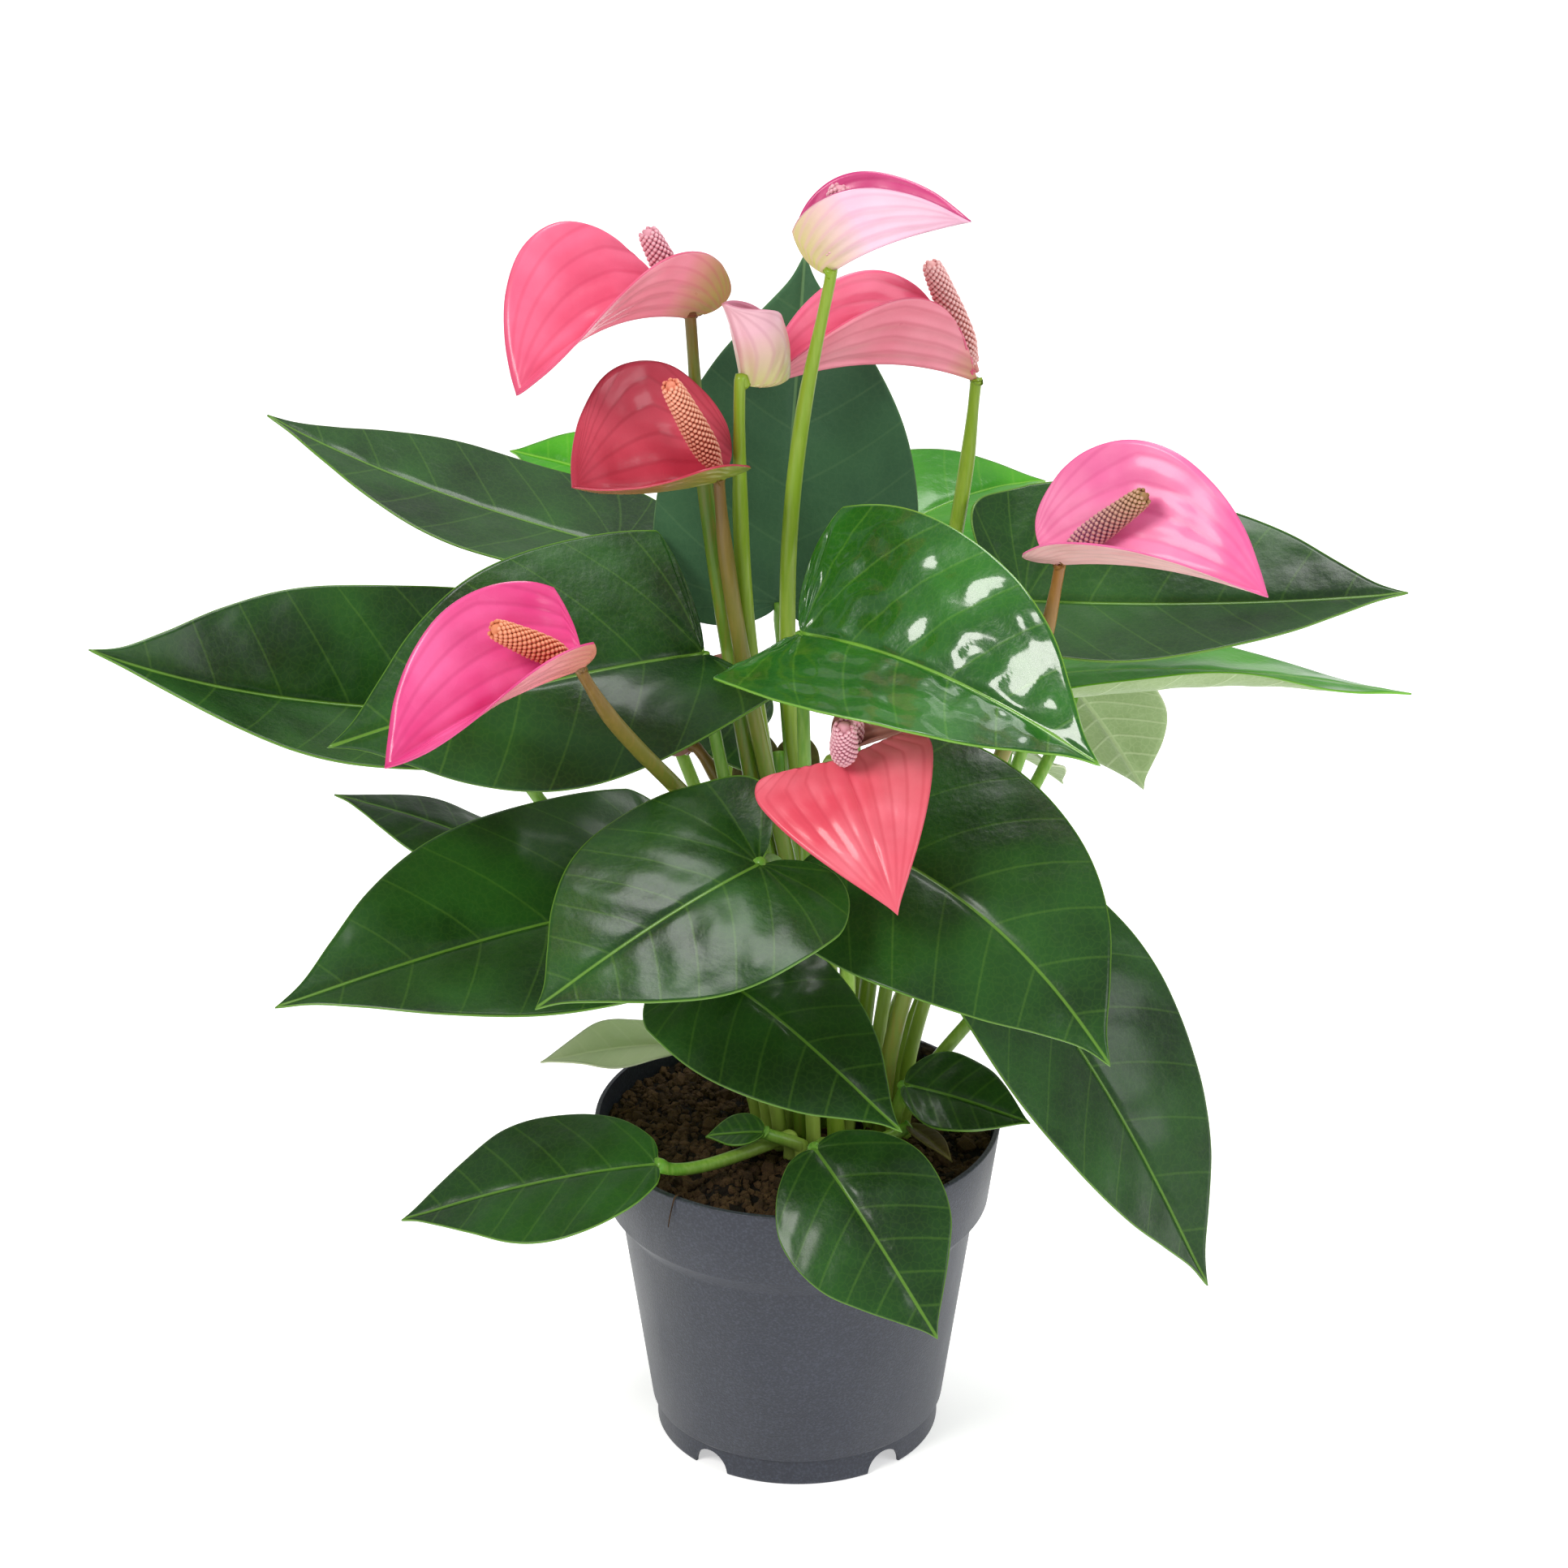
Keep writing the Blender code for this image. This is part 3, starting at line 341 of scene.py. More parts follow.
def crownPoint(root):
    column, row = root
    x = (crown["centre"][0] + (column + 0.5 * (row % 2)) * crown["pitch"]) * mm
    y = (crown["centre"][1] + row * crown["pitch"] * crown["rise"]) * mm
    return np.array((x, y, soilTop + clearance))


def placed(own, habit):
    form = {**habit, **own}
    for end in ("knee", "tip"):
        form[end] = pastRim(own[end + "Rim"]) if end + "Rim" in own else fromSoil(own[end])
    form["along"] = unit(form["tip"] - form["knee"])
    facing = np.array(form["facing"], float)
    form["face"] = unit(facing - facing.dot(form["along"]) * form["along"])
    return form


def stemPath(form, end):
    # straight out of the soil, leaning out, and in from below at the blade
    foot = crownPoint(form["root"])
    start = foot + np.array((0, 0, crown["pitch"] * mm))
    run = end - start
    level = run * (1, 1, 0)
    climb = run * (0, 0, 1)
    low = start + form["reach"][0] * (climb + level * form["lean"][0])
    if form["hang"] is None:
        high = end - form["reach"][1] * (climb + level * form["lean"][1])
    else:
        high = end + np.array(form["hang"], float) * mm
    return np.vstack((foot, cubic((start, low, high, end), np.linspace(0, 1, stems["steps"] - 1))))


def settleStems(paths, radii):
    # crossing stems push one another aside, with their feet and tops held
    paths = np.array(paths)
    radii = np.array(radii)
    count = stems["steps"]
    slots = np.linspace(0, count - 1, 4 * (count - 1) + 1)
    low = np.minimum(slots.astype(int), count - 2)
    share = slots - low
    thick = radii[:, low] * (1 - share) + radii[:, low + 1] * share
    first, second = np.triu_indices(len(paths), 1)
    reach = thick[first][:, :, None] + thick[second][:, None, :] + stems["settleGap"] * mm
    for _ in range(stems["settleRounds"]):
        moved = np.zeros_like(paths)
        places = paths[:, low] * (1 - share)[:, None] + paths[:, low + 1] * share[:, None]
        apart = places[first][:, :, None] - places[second][:, None, :]
        span = np.linalg.norm(apart, axis=-1)
        for pair, a, b in zip(*np.nonzero(span < reach)):
            push = apart[pair, a, b] / max(span[pair, a, b], clearance / 10)
            push = push * (reach[pair, a, b] - span[pair, a, b]) * stems["settleEase"]
            for stem, slot, way in ((first[pair], a, push), (second[pair], b, -push)):
                moved[stem, low[slot]] += way * (1 - share[slot])
                moved[stem, low[slot] + 1] += way * share[slot]
        moved[:, :2] = 0
        moved[:, -1] = 0
        moved[:, 2:-1] = 0.5 * moved[:, 2:-1] + 0.25 * (moved[:, 1:-2] + moved[:, 3:])
        paths = paths + moved
    return paths


def bladePoint(form, x, y, relief=None):
    # where a point of the flat outline lies once the blade is folded, bowed and rippled
    knee = form["knee"]
    face = form["face"]
    chord = form["tip"] - knee
    length = np.linalg.norm(chord)
    side = np.cross(face, form["along"])
    near = form["rise"][0] * face + form["sweep"][0] * side
    far = form["rise"][1] * face + form["sweep"][1] * side
    ends = (knee, knee + chord / 3 + near * length, knee + chord * 2 / 3 + far * length, form["tip"])
    pick = (y < 0).astype(int)
    x = np.where(x < 0, x * np.broadcast_to(form["heart"], 2)[pick], x)
    s = np.clip(x, 0, 1)
    centre = cubic(ends, s) + cubicSlope(ends, np.zeros_like(x)) * np.minimum(x, 0)[..., None]
    tangent = cubicSlope(ends, s)
    tangent /= np.linalg.norm(tangent, axis=-1, keepdims=True)
    up = face - (tangent @ face)[..., None] * tangent
    up /= np.linalg.norm(up, axis=-1, keepdims=True)
    left = np.cross(up, tangent)
    turn = np.radians(form["twist"]) * s[..., None]
    up, left = up * np.cos(turn) - left * np.sin(turn), left * np.cos(turn) + up * np.sin(turn)
    width = np.array(form["half"])[pick] * mm
    fold = np.radians(np.array(form["fold"], float))[pick] * (1 - np.array(form["open"])[pick] * s)
    bend = np.radians(np.array(form["bend"], float))[pick]
    bend = np.where(np.abs(bend) < 1e-3, 1e-3, bend)
    q = np.abs(y)
    across = width * (np.sin(fold + bend * q) - np.sin(fold)) / bend * np.where(y < 0, -1, 1)
    height = width * (np.cos(fold) - np.cos(fold + bend * q)) / bend
    height = height + np.array(form["lift"])[pick] * np.minimum(x, 0) ** 2 * 4 * length
    amount, waves, phase = form["ripple"]
    height = height + amount * mm * q**2 * np.sin(2 * np.pi * (waves * x + phase + 0.37 * pick))
    place = centre + across[..., None] * left + height[..., None] * up
    if relief is None:
        return place
    # relief stands on the folded side, not on the midrib's plane
    tilt = (fold + bend * q) * np.where(y < 0, -1, 1)
    lean = up * np.cos(tilt)[..., None] - left * np.sin(tilt)[..., None]
    return place + relief[..., None] * lean


# Sheets: leaf blades and spathes

def flatGrid(form, rings, steps):
    # the outline filled with rings from the stalk end out to the margin
    half = smoothLine(form["outline"], steps + 1)[1:]
    other = smoothLine(form.get("otherOutline", form["outline"]), steps + 1)[1:]
    edge = np.vstack((half, other[-2::-1] * (1, -1)))
    shares = np.linspace(0, 1, rings + 1)[1:]
    flat = np.vstack([(0.0, 0.0)] + [edge * share for share in shares])
    share = np.concatenate(([0.0], np.repeat(shares, len(edge))))
    count = len(edge)
    faces = [(0, k + 1, k) for k in range(1, count)]
    for ring in range(rings - 1):
        inner = 1 + ring * count
        outer = inner + count
        faces += [(inner + k, inner + k + 1, outer + k + 1, outer + k) for k in range(count - 1)]
    edgeLength = np.concatenate(([1.0], np.tile(np.hypot(
        edge[:, 0] * form["length"], edge[:, 1] * form["halfMm"]), rings)))
    return flat[:, 0], flat[:, 1], (1 - share) * edgeLength, faces


def leafVeins(form, x, y):
    # side veins leave the midrib and sweep forwards; behind the knee they fan out into the lobes
    along = x * form["length"]
    out = np.abs(y) * form["halfMm"]
    gap = form["length"] / 6
    slant, curve, fan = 0.5, 0.006, math.radians(27)
    ahead = along - slant * out - curve * out**2
    base = math.atan2(1, slant)
    angle = np.arctan2(out, along - curve * out**2)
    phase = np.where(ahead > 0, ahead / gap, -(angle - base) / fan)
    width = np.where(ahead > 0, gap * math.sin(base), np.hypot(along, out) * fan)
    return phase, width, out


def spatheVeins(form, x, y):
    # ribs run from the base to the tip, side by side
    out = np.abs(y)
    outline = smoothLine(form["outline"], 200)
    top = int(np.argmax(outline[:, 1]))
    reach = np.interp(x, outline[top:, 0], outline[top:, 1])
    rise = np.sqrt(np.clip((x + 0.14) / (outline[top, 0] + 0.14), 0.02, 1))
    reach = np.where(x < outline[top, 0], rise, np.maximum(reach, 0.03))
    count = 4.5
    return out / reach * count, reach * form["halfMm"] / count, out * form["halfMm"]


def thicken(points, faces, thickness):
    # a closed sheet: the face side, the underside and the margin between them
    probe = bpy.data.meshes.new("probe")
    probe.from_pydata([tuple(p) for p in points], [], faces)
    normals = np.empty(len(points) * 3)
    probe.vertices.foreach_get("normal", normals)
    bpy.data.meshes.remove(probe)
    lift = normals.reshape(-1, 3) * (thickness / 2)
    count = len(points)
    used = {}
    for face in faces:
        for a, b in zip(face, face[1:] + face[:1]):
            used[(a, b)] = True
    rim = [(b, a, a + count, b + count) for a, b in used if (b, a) not in used]
    under = [tuple(k + count for k in reversed(face)) for face in faces]
    return np.vstack((points + lift, points - lift)), faces + under + rim


def unevenness(form, x, y):
    # soft swellings and hollows, each wave running its own way over the flat outline
    rng = np.random.default_rng(form["seed"])
    u = x * form["length"]
    v = y * form["halfMm"]
    total = np.zeros_like(x)
    for wave in form["waves"]:
        for way, shift in rng.uniform(0, 2 * np.pi, (5, 2)):
            total += wave * np.sin((u * math.cos(way) + v * math.sin(way)) * 2 * np.pi / wave + shift)
    return total / (sum(form["waves"]) * 1.6)


def makeSheet(form, rings, steps, veins, dips):
    # points, faces, slots (0 face side and rim, 1 underside) and the numbers that its material reads
    x, y, rimGap, faces = flatGrid(form, rings, steps)
    phase, width, midrib = veins(form, x, y)
    amount = form["pucker"] * mm
    nearRib = np.exp(-(midrib / dips["midribWidth"]) ** 2)
    fade = np.clip(width / 5, 0, 1) * np.clip(rimGap / 5, 0, 1) * (1 - nearRib)
    relief = form["uneven"] * mm * unevenness(form, x, y) * np.clip(rimGap / 6, 0.25, 1) * (1 - nearRib)
    relief += (-amount * fade * np.cos(2 * np.pi * phase)
               - dips["midrib"] * mm * nearRib * np.clip(rimGap / 8, 0, 1))
    points = bladePoint(form, x, y, relief)
    count = len(points)
    points, faces = thicken(points, faces, sheets["thickness"] * mm)
    single = [k for k, face in enumerate(faces) if min(face) >= count]
    slots = np.zeros(len(faces), int)
    slots[single] = 1
    numbers = {
        "veinPhase": np.tile(phase, 2), "veinGap": np.tile(width, 2),
        "midrib": np.tile(midrib, 2), "rimGap": np.tile(rimGap, 2), "along": np.tile(x, 2),
    }
    return points, faces, slots, numbers


def makeTube(path, radii, sides, slot, share=None):
    # a closed tube; "along" runs from 0 at its foot to 1 at its top
    slope = np.gradient(path, axis=0)
    slope /= np.linalg.norm(slope, axis=1, keepdims=True)
    across = unit(np.cross(slope[0], (0.31, 0.87, 0.38)))
    turns = 2 * np.pi * np.arange(sides) / sides
    points = []
    for place, way, radius in zip(path, slope, radii):
        across = unit(across - across.dot(way) * way)
        other = np.cross(way, across)
        points.append(place + radius * (np.cos(turns)[:, None] * across + np.sin(turns)[:, None] * other))
    faces = [tuple(reversed(range(sides)))]
    for ring in range(len(path) - 1):
        a = ring * sides
        faces += [(a + k, a + (k + 1) % sides, a + sides + (k + 1) % sides,
                   a + sides + k) for k in range(sides)]
    top = (len(path) - 1) * sides
    faces.append(tuple(range(top, top + sides)))
    steps = np.linspace(0, 1, len(path)) if share is None else share
    numbers = {"along": np.repeat(steps, sides)}
    return np.vstack(points), faces, np.full(len(faces), slot), numbers


def joinParts(name, parts, materials):
    # several sets of points and faces in one mesh, with the numbers that any of them carries
    points, faces, slots, start = [], [], [], 0
    keys = sorted({key for part in parts for key in part[3]})
    numbers = {key: [] for key in keys}
    for partPoints, partFaces, partSlots, partNumbers in parts:
        points.append(partPoints)
        faces += [tuple(k + start for k in face) for face in partFaces]
        slots.append(partSlots)
        for key in keys:
            numbers[key].append(partNumbers.get(key, np.full(len(partPoints), 99.0)))
        start += len(partPoints)
    numbers = {key: np.concatenate(values) for key, values in numbers.items()}
    return meshFrom(name, np.vstack(points), faces, materials, np.concatenate(slots), numbers)


# Materials of the living parts

def sheetMaterial(name, look, values):
    # A waxy leaf or spathe: two shades drift over it, with veins, a fine net and a thin margin line.
    material, tree, shader = newMaterial(name, values)
    place = addNode(tree, "ShaderNodeTexCoord").outputs["Object"]
    phase, gap, midrib, rim, along = (
        addNode(tree, "ShaderNodeAttribute", {"attribute_name": key}).outputs["Fac"]
        for key in ("veinPhase", "veinGap", "midrib", "rimGap", "along"))
    drift = addNode(tree, "ShaderNodeTexNoise", {"Scale": 1 / (look["patch"] * mm), "Detail": 3.0},
                    {"Vector": place})
    mottle = addNode(tree, "ShaderNodeMapRange", {1: 0.35, 2: 0.68}, {0: drift.outputs[0]})
    base = addNode(tree, "ShaderNodeMix",
                   {"data_type": "RGBA", 6: linear(look["colour"]), 7: linear(look["second"])},
                   {0: mottle.outputs[0]})
    # the base of the sheet, by the knee, keeps another shade
    knee = addNode(tree, "ShaderNodeMapRange",
                   {1: look.get("kneeReach", 0.25), 2: -0.05, 3: 0.0, 4: look.get("kneeShare", 0.0)},
                   {0: along})
    base = addNode(tree, "ShaderNodeMix",
                   {"data_type": "RGBA", 7: linear(look.get("kneeColour", look["colour"]))},
                   {0: knee.outputs[0], 6: base.outputs[2]})
    near = addNode(tree, "ShaderNodeMath", {"operation": "PINGPONG", 1: 0.5}, {0: phase})
    distance = addNode(tree, "ShaderNodeMath", {"operation": "MULTIPLY"}, {0: near.outputs[0], 1: gap})
    lateral = addNode(tree, "ShaderNodeMapRange",
                      {"interpolation_type": "SMOOTHSTEP", 1: look["veinWidth"], 2: 0.1, 3: 0.0,
                       4: look["veinShare"]},
                      {0: distance.outputs[0]})
    middle = addNode(tree, "ShaderNodeMapRange",
                     {"interpolation_type": "SMOOTHSTEP", 1: look["midribWidth"], 2: 0.3, 3: 0.0,
                      4: look["midribShare"]},
                     {0: midrib})
    margin = addNode(tree, "ShaderNodeMapRange",
                     {"interpolation_type": "SMOOTHSTEP", 1: look["marginWidth"], 2: 0.1, 3: 0.0,
                      4: look["marginShare"]},
                     {0: rim})
    lines = addNode(tree, "ShaderNodeMath", {"operation": "MAXIMUM"},
                    {0: lateral.outputs[0], 1: middle.outputs[0]})
    lines = addNode(tree, "ShaderNodeMath", {"operation": "MAXIMUM"},
                    {0: lines.outputs[0], 1: margin.outputs[0]})
    colour = addNode(tree, "ShaderNodeMix", {"data_type": "RGBA", 7: linear(look["vein"])},
                     {0: lines.outputs[0], 6: base.outputs[2]})
    # the fine net between the veins, about 2 mm across
    net = addNode(tree, "ShaderNodeTexVoronoi",
                  {"feature": "DISTANCE_TO_EDGE", "Scale": 1 / (look["net"] * mm)},
                  {"Vector": place})
    netLine = addNode(tree, "ShaderNodeMapRange", {1: 0.0, 2: 0.12, 3: look["netShare"], 4: 0.0},
                      {0: net.outputs["Distance"]})
    colour = addNode(tree, "ShaderNodeMix", {"data_type": "RGBA", 7: linear(look["vein"])},
                     {0: netLine.outputs[0], 6: colour.outputs[2]})
    tree.links.new(colour.outputs[2], shader.inputs["Base Color"])
    grain = addNode(tree, "ShaderNodeTexNoise", {"Scale": 1 / (2.6 * mm), "Detail": 3.0}, {"Vector": place})
    rough = addNode(tree, "ShaderNodeMapRange",
                    {1: 0.3, 2: 0.7, 3: look["rough"] - 0.05, 4: look["rough"] + 0.07},
                    {0: drift.outputs[0]})
    tree.links.new(rough.outputs[0], shader.inputs["Roughness"])
    swell = addNode(tree, "ShaderNodeMath", {"operation": "MULTIPLY_ADD", 1: look["netBump"]},
                    {0: netLine.outputs[0], 2: lines.outputs[0]})
    swell = addNode(tree, "ShaderNodeMath", {"operation": "MULTIPLY_ADD", 1: look["grainBump"]},
                    {0: grain.outputs[0], 2: swell.outputs[0]})
    bump = addNode(tree, "ShaderNodeBump",
                   {"Strength": look["bump"], "Distance": 0.25 * mm, "invert": look["sunken"]},
                   {"Height": swell.outputs[0]})
    tree.links.new(bump.outputs[0], shader.inputs["Normal"])
    return material


def stemMaterial(name, look):
    # Fleshy stem skin, faintly streaked along its length, that turns shade towards its top
    material, tree, shader = newMaterial(name, {"Roughness": look["rough"], "IOR": 1.42, "Coat Weight": 0.1})
    place = addNode(tree, "ShaderNodeTexCoord").outputs["Object"]
    along = addNode(tree, "ShaderNodeAttribute", {"attribute_name": "along"}).outputs["Fac"]
    stretch = addNode(tree, "ShaderNodeMapping", {"Scale": (1, 1, 0.08)}, {"Vector": place})
    streak = addNode(tree, "ShaderNodeTexNoise", {"Scale": 1 / (1.2 * mm), "Detail": 3.0},
                     {"Vector": stretch.outputs[0]})
    turn = addNode(tree, "ShaderNodeMapRange", {1: look["turn"][0], 2: look["turn"][1]}, {0: along})
    base = addNode(tree, "ShaderNodeMix",
                   {"data_type": "RGBA", 6: linear(look["foot"]), 7: linear(look["top"])},
                   {0: turn.outputs[0]})
    share = addNode(tree, "ShaderNodeMapRange", {1: 0.4, 2: 0.75, 3: 0.0, 4: 0.35}, {0: streak.outputs[0]})
    colour = addNode(tree, "ShaderNodeMix", {"data_type": "RGBA", 7: linear(look["streak"])},
                     {0: share.outputs[0], 6: base.outputs[2]})
    tree.links.new(colour.outputs[2], shader.inputs["Base Color"])
    bump = addNode(tree, "ShaderNodeBump", {"Strength": 0.25, "Distance": 0.2 * mm},
                   {"Height": streak.outputs[0]})
    tree.links.new(bump.outputs[0], shader.inputs["Normal"])
    return material


leafLook = dict(
    patch=30, veinWidth=0.6, veinShare=0.11, midribWidth=0.7, midribShare=0.5, marginWidth=0.6,
    marginShare=0.55,
    net=2.2, netShare=0.04, netBump=0.5, grainBump=1.3, bump=0.8, sunken=True, polish=0.2)
leafTops = {
    # waxy cuticle over dark green tissue: a satin gleam that breaks over the veins
    "deep": dict(colour="#0C3005", second="#1E5010", vein="#78AA38", rough=0.4, coat=0.3),
    "grey": dict(colour="#31563A", second="#3B6441", vein="#6F9460", rough=0.6, coat=0.0),
    "bright": dict(colour="#318A08", second="#4FA812", vein="#8CC63F", rough=0.34, coat=0.4),
    "glossy": dict(colour="#0E4A08", second="#236B10", vein="#8CC63F", rough=0.34, coat=0.8, polish=0.1),
    "pale": dict(colour="#A3B487", second="#BCC6A2", vein="#CBD4B0", rough=0.5, coat=0.05),
    "brown": dict(colour="#4A3A1E", second="#5E5A2A", vein="#7B7442", rough=0.6, coat=0.0),
}
leafUnder = dict(colour="#86A065", second="#9BB37C", vein="#B6C897", rough=0.5, coat=0.05)
petioleLook = dict(foot="#9FB650", top="#5C9426", streak="#B2C96C", turn=(0.1, 0.9), rough=0.42)


def leafMaterials(tone):
    top = {**leafLook, **leafTops[tone]}
    under = {**leafLook, **leafUnder, "sunken": False, "veinShare": 0.6, "netShare": 0.2}
    if tone == "brown":
        under = {**under, "colour": "#6B5A34", "second": "#7A6A3E"}
    return [
        sheetMaterial("waxyLeaf_" + tone, top, {
            "IOR": 1.4, "Specular IOR Level": 0.35, "Coat Weight": top["coat"],
            "Coat Roughness": top["polish"]}),
        sheetMaterial("paleLeafUnderside_" + tone, under, {"IOR": 1.4, "Coat Weight": under["coat"]}),
        stemMaterial("fleshyPetiole_" + tone, petioleLook),
    ]


# Layout of all stems, then the leaves

def planPlant():
    leaves = {name: placed(own, leafHabit) for name, own in leafTable.items()}
    flowers = {name: placed(own, spatheHabit) for name, own in flowerTable.items()}
    gap = (sheets["thickness"] / 2 + stems["stalkTip"] / 2) * mm + clearance
    count = stems["steps"]
    petiole = stems["petiole"] / 2 * mm * np.linspace(stems["petioleFoot"], 1, count)
    stalk = stems["stalk"] / 2 * mm * np.linspace(stems["stalkFoot"], 1, count)
    stalk[-1] = stems["stalkTip"] / 2 * mm
    paths = [stemPath(form, form["knee"]) for form in leaves.values()]
    paths += [stemPath(form, form["knee"] - gap * form["face"]) for form in flowers.values()]
    radii = [petiole] * len(leaves) + [stalk] * len(flowers)
    forms = (*leaves.values(), *flowers.values())
    for seed, (form, path, radius) in enumerate(zip(forms, settleStems(paths, radii), radii)):
        form["seed"] = seed
        form["path"] = path
        form["radii"] = radius
        form["length"] = np.linalg.norm(form["tip"] - form["knee"]) / mm
        form["halfMm"] = sum(form["half"]) / 2
    return leaves, flowers


leafDips = dict(midrib=0.55, midribWidth=1.5)
spatheDips = dict(midrib=0.4, midribWidth=1.2)
detail = dict(
    leaf=(50, 92), smallLeaf=(18, 44), smallLength=50, spathe=(26, 72),  # rings and margin steps
    petioleSteps=61, petioleSides=12, stalkSteps=65, stalkSides=14, spikeSteps=25, spikeSides=14)
knuckle = dict(place=0.965, spread=0.03, swell=0.22, thin=0.9)  # the swollen joint below the blade


def buildLeaf(name, form, materials):
    size = "smallLeaf" if form["length"] < detail["smallLength"] else "leaf"
    sheet = makeSheet(form, *detail[size], leafVeins, leafDips)
    fine = smoothLine(form["path"], detail["petioleSteps"])
    steps = np.linspace(0, 1, detail["petioleSteps"])
    radii = np.interp(steps, np.linspace(0, 1, len(form["radii"])), form["radii"])
    bulge = np.exp(-((steps - knuckle["place"]) / knuckle["spread"]) ** 2)
    radii = radii * (knuckle["thin"] + knuckle["swell"] * bulge)
    tube = makeTube(fine, radii, detail["petioleSides"], 2)
    addPiece(joinParts(name[5:] + "_leaf", (sheet, tube), materials), "leaf_" + form["tone"], name)


def main():
    leaves, flowers = planPlant()
    print("layout settled:", len(leaves), "leaves,", len(flowers), "flowers")
    finishes = {tone: leafMaterials(tone) for tone in leafTops}
    for name, form in leaves.items():
        buildLeaf(name, form, finishes[form.get("look", form["tone"])])
    print("leaves built")
    buildFlowers(flowers)
    buildPot()
    buildSoil()
    buildStage()


# Flowers: spathe, spadix and stalk

spatheLook = dict(
    patch=22, veinWidth=0.9, veinShare=0.3, midribWidth=1.1, midribShare=0.35, marginWidth=0.5,
    marginShare=0.35,
    net=1.8, netShare=0.03, netBump=0.2, grainBump=0.4, bump=0.4, sunken=True, coat=0.25)
spatheTones = {
    # inner face, then outer face, of the waxy bract; the outer one greens towards the stalk
    "pink": (dict(colour="#DE5678", second="#EA7090", vein="#C43C60", rough=0.34),
             dict(colour="#EC8799", second="#F39BAA", vein="#CC6276", rough=0.32,
                  kneeColour="#B4AC58", kneeShare=0.9, kneeReach=0.18)),
    "rose": (dict(colour="#D93C7E", second="#E8649C", vein="#B82C68", rough=0.26),
             dict(colour="#E98A94", second="#F0A3AA", vein="#D2606F", rough=0.32,
                  kneeColour="#C08858", kneeShare=0.7)),
    "coral": (dict(colour="#E24C60", second="#EC7282", vein="#C8384C", rough=0.36),
              dict(colour="#E98A94", second="#F0A3AA", vein="#D2606F", rough=0.32)),
    "deep": (dict(colour="#B8364A", second="#CE4F62", vein="#9A2638", rough=0.3),
             dict(colour="#B0604A", second="#C27866", vein="#8F8C33", rough=0.34,
                  kneeColour="#8A9A30", kneeShare=1.0, kneeReach=0.8)),
    "magenta": (dict(colour="#C4407A", second="#D2568A", vein="#AE2C66", rough=0.28),
                dict(colour="#EDB4CC", second="#F1C6D9", vein="#D493B2", rough=0.28,
                     kneeColour="#B9B45C", kneeShare=1.0, kneeReach=0.34)),
    "bud": (dict(colour="#C77C92", second="#D795A6", vein="#A85F74", rough=0.35),
            dict(colour="#EBC3CC", second="#E3AEBB", vein="#B9788A", rough=0.32,
                 kneeColour="#A9B455", kneeShare=0.9, kneeReach=0.6)),
    "orchid": (dict(colour="#E4649C", second="#EE8AB2", vein="#CE4480", rough=0.4),
               dict(colour="#E3A8A8", second="#EBBDB8", vein="#CF8288", rough=0.32)),
    "dull": (dict(colour="#965E57", second="#A56E60", vein="#7B4A40", rough=0.45),
             dict(colour="#96645A", second="#A5756A", vein="#7F5A48", rough=0.48)),
}
stalkTones = {
    "green": dict(foot="#7C9A2C", top="#7C9C18", streak="#A5B555", turn=(0.3, 1.0), rough=0.38),
    "brown": dict(foot="#6C8A2A", top="#7A5A2C", streak="#9A7E42", turn=(0.5, 0.9), rough=0.4),
    "amber": dict(foot="#7C8F3A", top="#8C5C26", streak="#A87C3C", turn=(0.5, 0.9), rough=0.4),
    "russet": dict(foot="#5F8420", top="#8A4F30", streak="#A9703E", turn=(0.84, 0.97), rough=0.4),
}
# each spike: colour at the foot, colour higher up, then the paler painted light on the outer tip of each
# tiny flower
spadixTones = {
    "orange": ("#C9603F", "#D8845C", "#E7A987"),
    "peach": ("#B9543F", "#D88468", "#F0BCA0"),
    "lilac": ("#BE7488", "#D594A2", "#F0C6CC"),
    "rosy": ("#D58C84", "#E2A6A4", "#F4D0CC"),
    "olive": ("#B0708E", "#947044", "#CFA48C"),
}
spadixSizes = dict(
    diameter=7.0, set=1.5, berry=0.72, pitch=1.42,
    steps=(0.0, 0.1, 0.35, 0.7, 0.94, 1.0), shares=(0.3, 0.55, 1.0, 0.9, 0.72, 0.3))
stalkTop = 3.6  # the stalk hardly thins before it joins the spathe


def spadixMaterial(name, tones):
    # Fleshy spike packed with tiny flowers: matt, with painted shade in the gaps between them and painted
    # light on their outer tips, changing colour up its length
    material, tree, shader = newMaterial(name, {"Roughness": 0.55, "IOR": 1.4})
    place = addNode(tree, "ShaderNodeTexCoord").outputs["Object"]
    along = addNode(tree, "ShaderNodeAttribute", {"attribute_name": "along"}).outputs["Fac"]
    berryTop = addNode(tree, "ShaderNodeAttribute", {"attribute_name": "berryTop"}).outputs["Fac"]
    base = addNode(tree, "ShaderNodeMix", {"data_type": "RGBA", 6: linear(tones[0]), 7: linear(tones[1])},
                   {0: addNode(tree, "ShaderNodeMapRange", {1: 0.3, 2: 0.95}, {0: along}).outputs[0]})
    # painted light: the outer tip of each tiny flower turns paler; the gaps keep the darker colour as
    # painted shade
    tip = addNode(tree, "ShaderNodeMapRange", {1: 0.35, 2: 1.0, 3: 0.0, 4: 0.8}, {0: berryTop})
    colour = addNode(tree, "ShaderNodeMix", {"data_type": "RGBA", 7: linear(tones[2])},
                     {0: tip.outputs[0], 6: base.outputs[2]})
    tree.links.new(colour.outputs[2], shader.inputs["Base Color"])
    grain = addNode(tree, "ShaderNodeTexNoise", {"Scale": 1 / (0.5 * mm), "Detail": 2.0}, {"Vector": place})
    bump = addNode(tree, "ShaderNodeBump", {"Strength": 0.3, "Distance": 0.1 * mm},
                   {"Height": grain.outputs[0]})
    tree.links.new(bump.outputs[0], shader.inputs["Normal"])
    return material


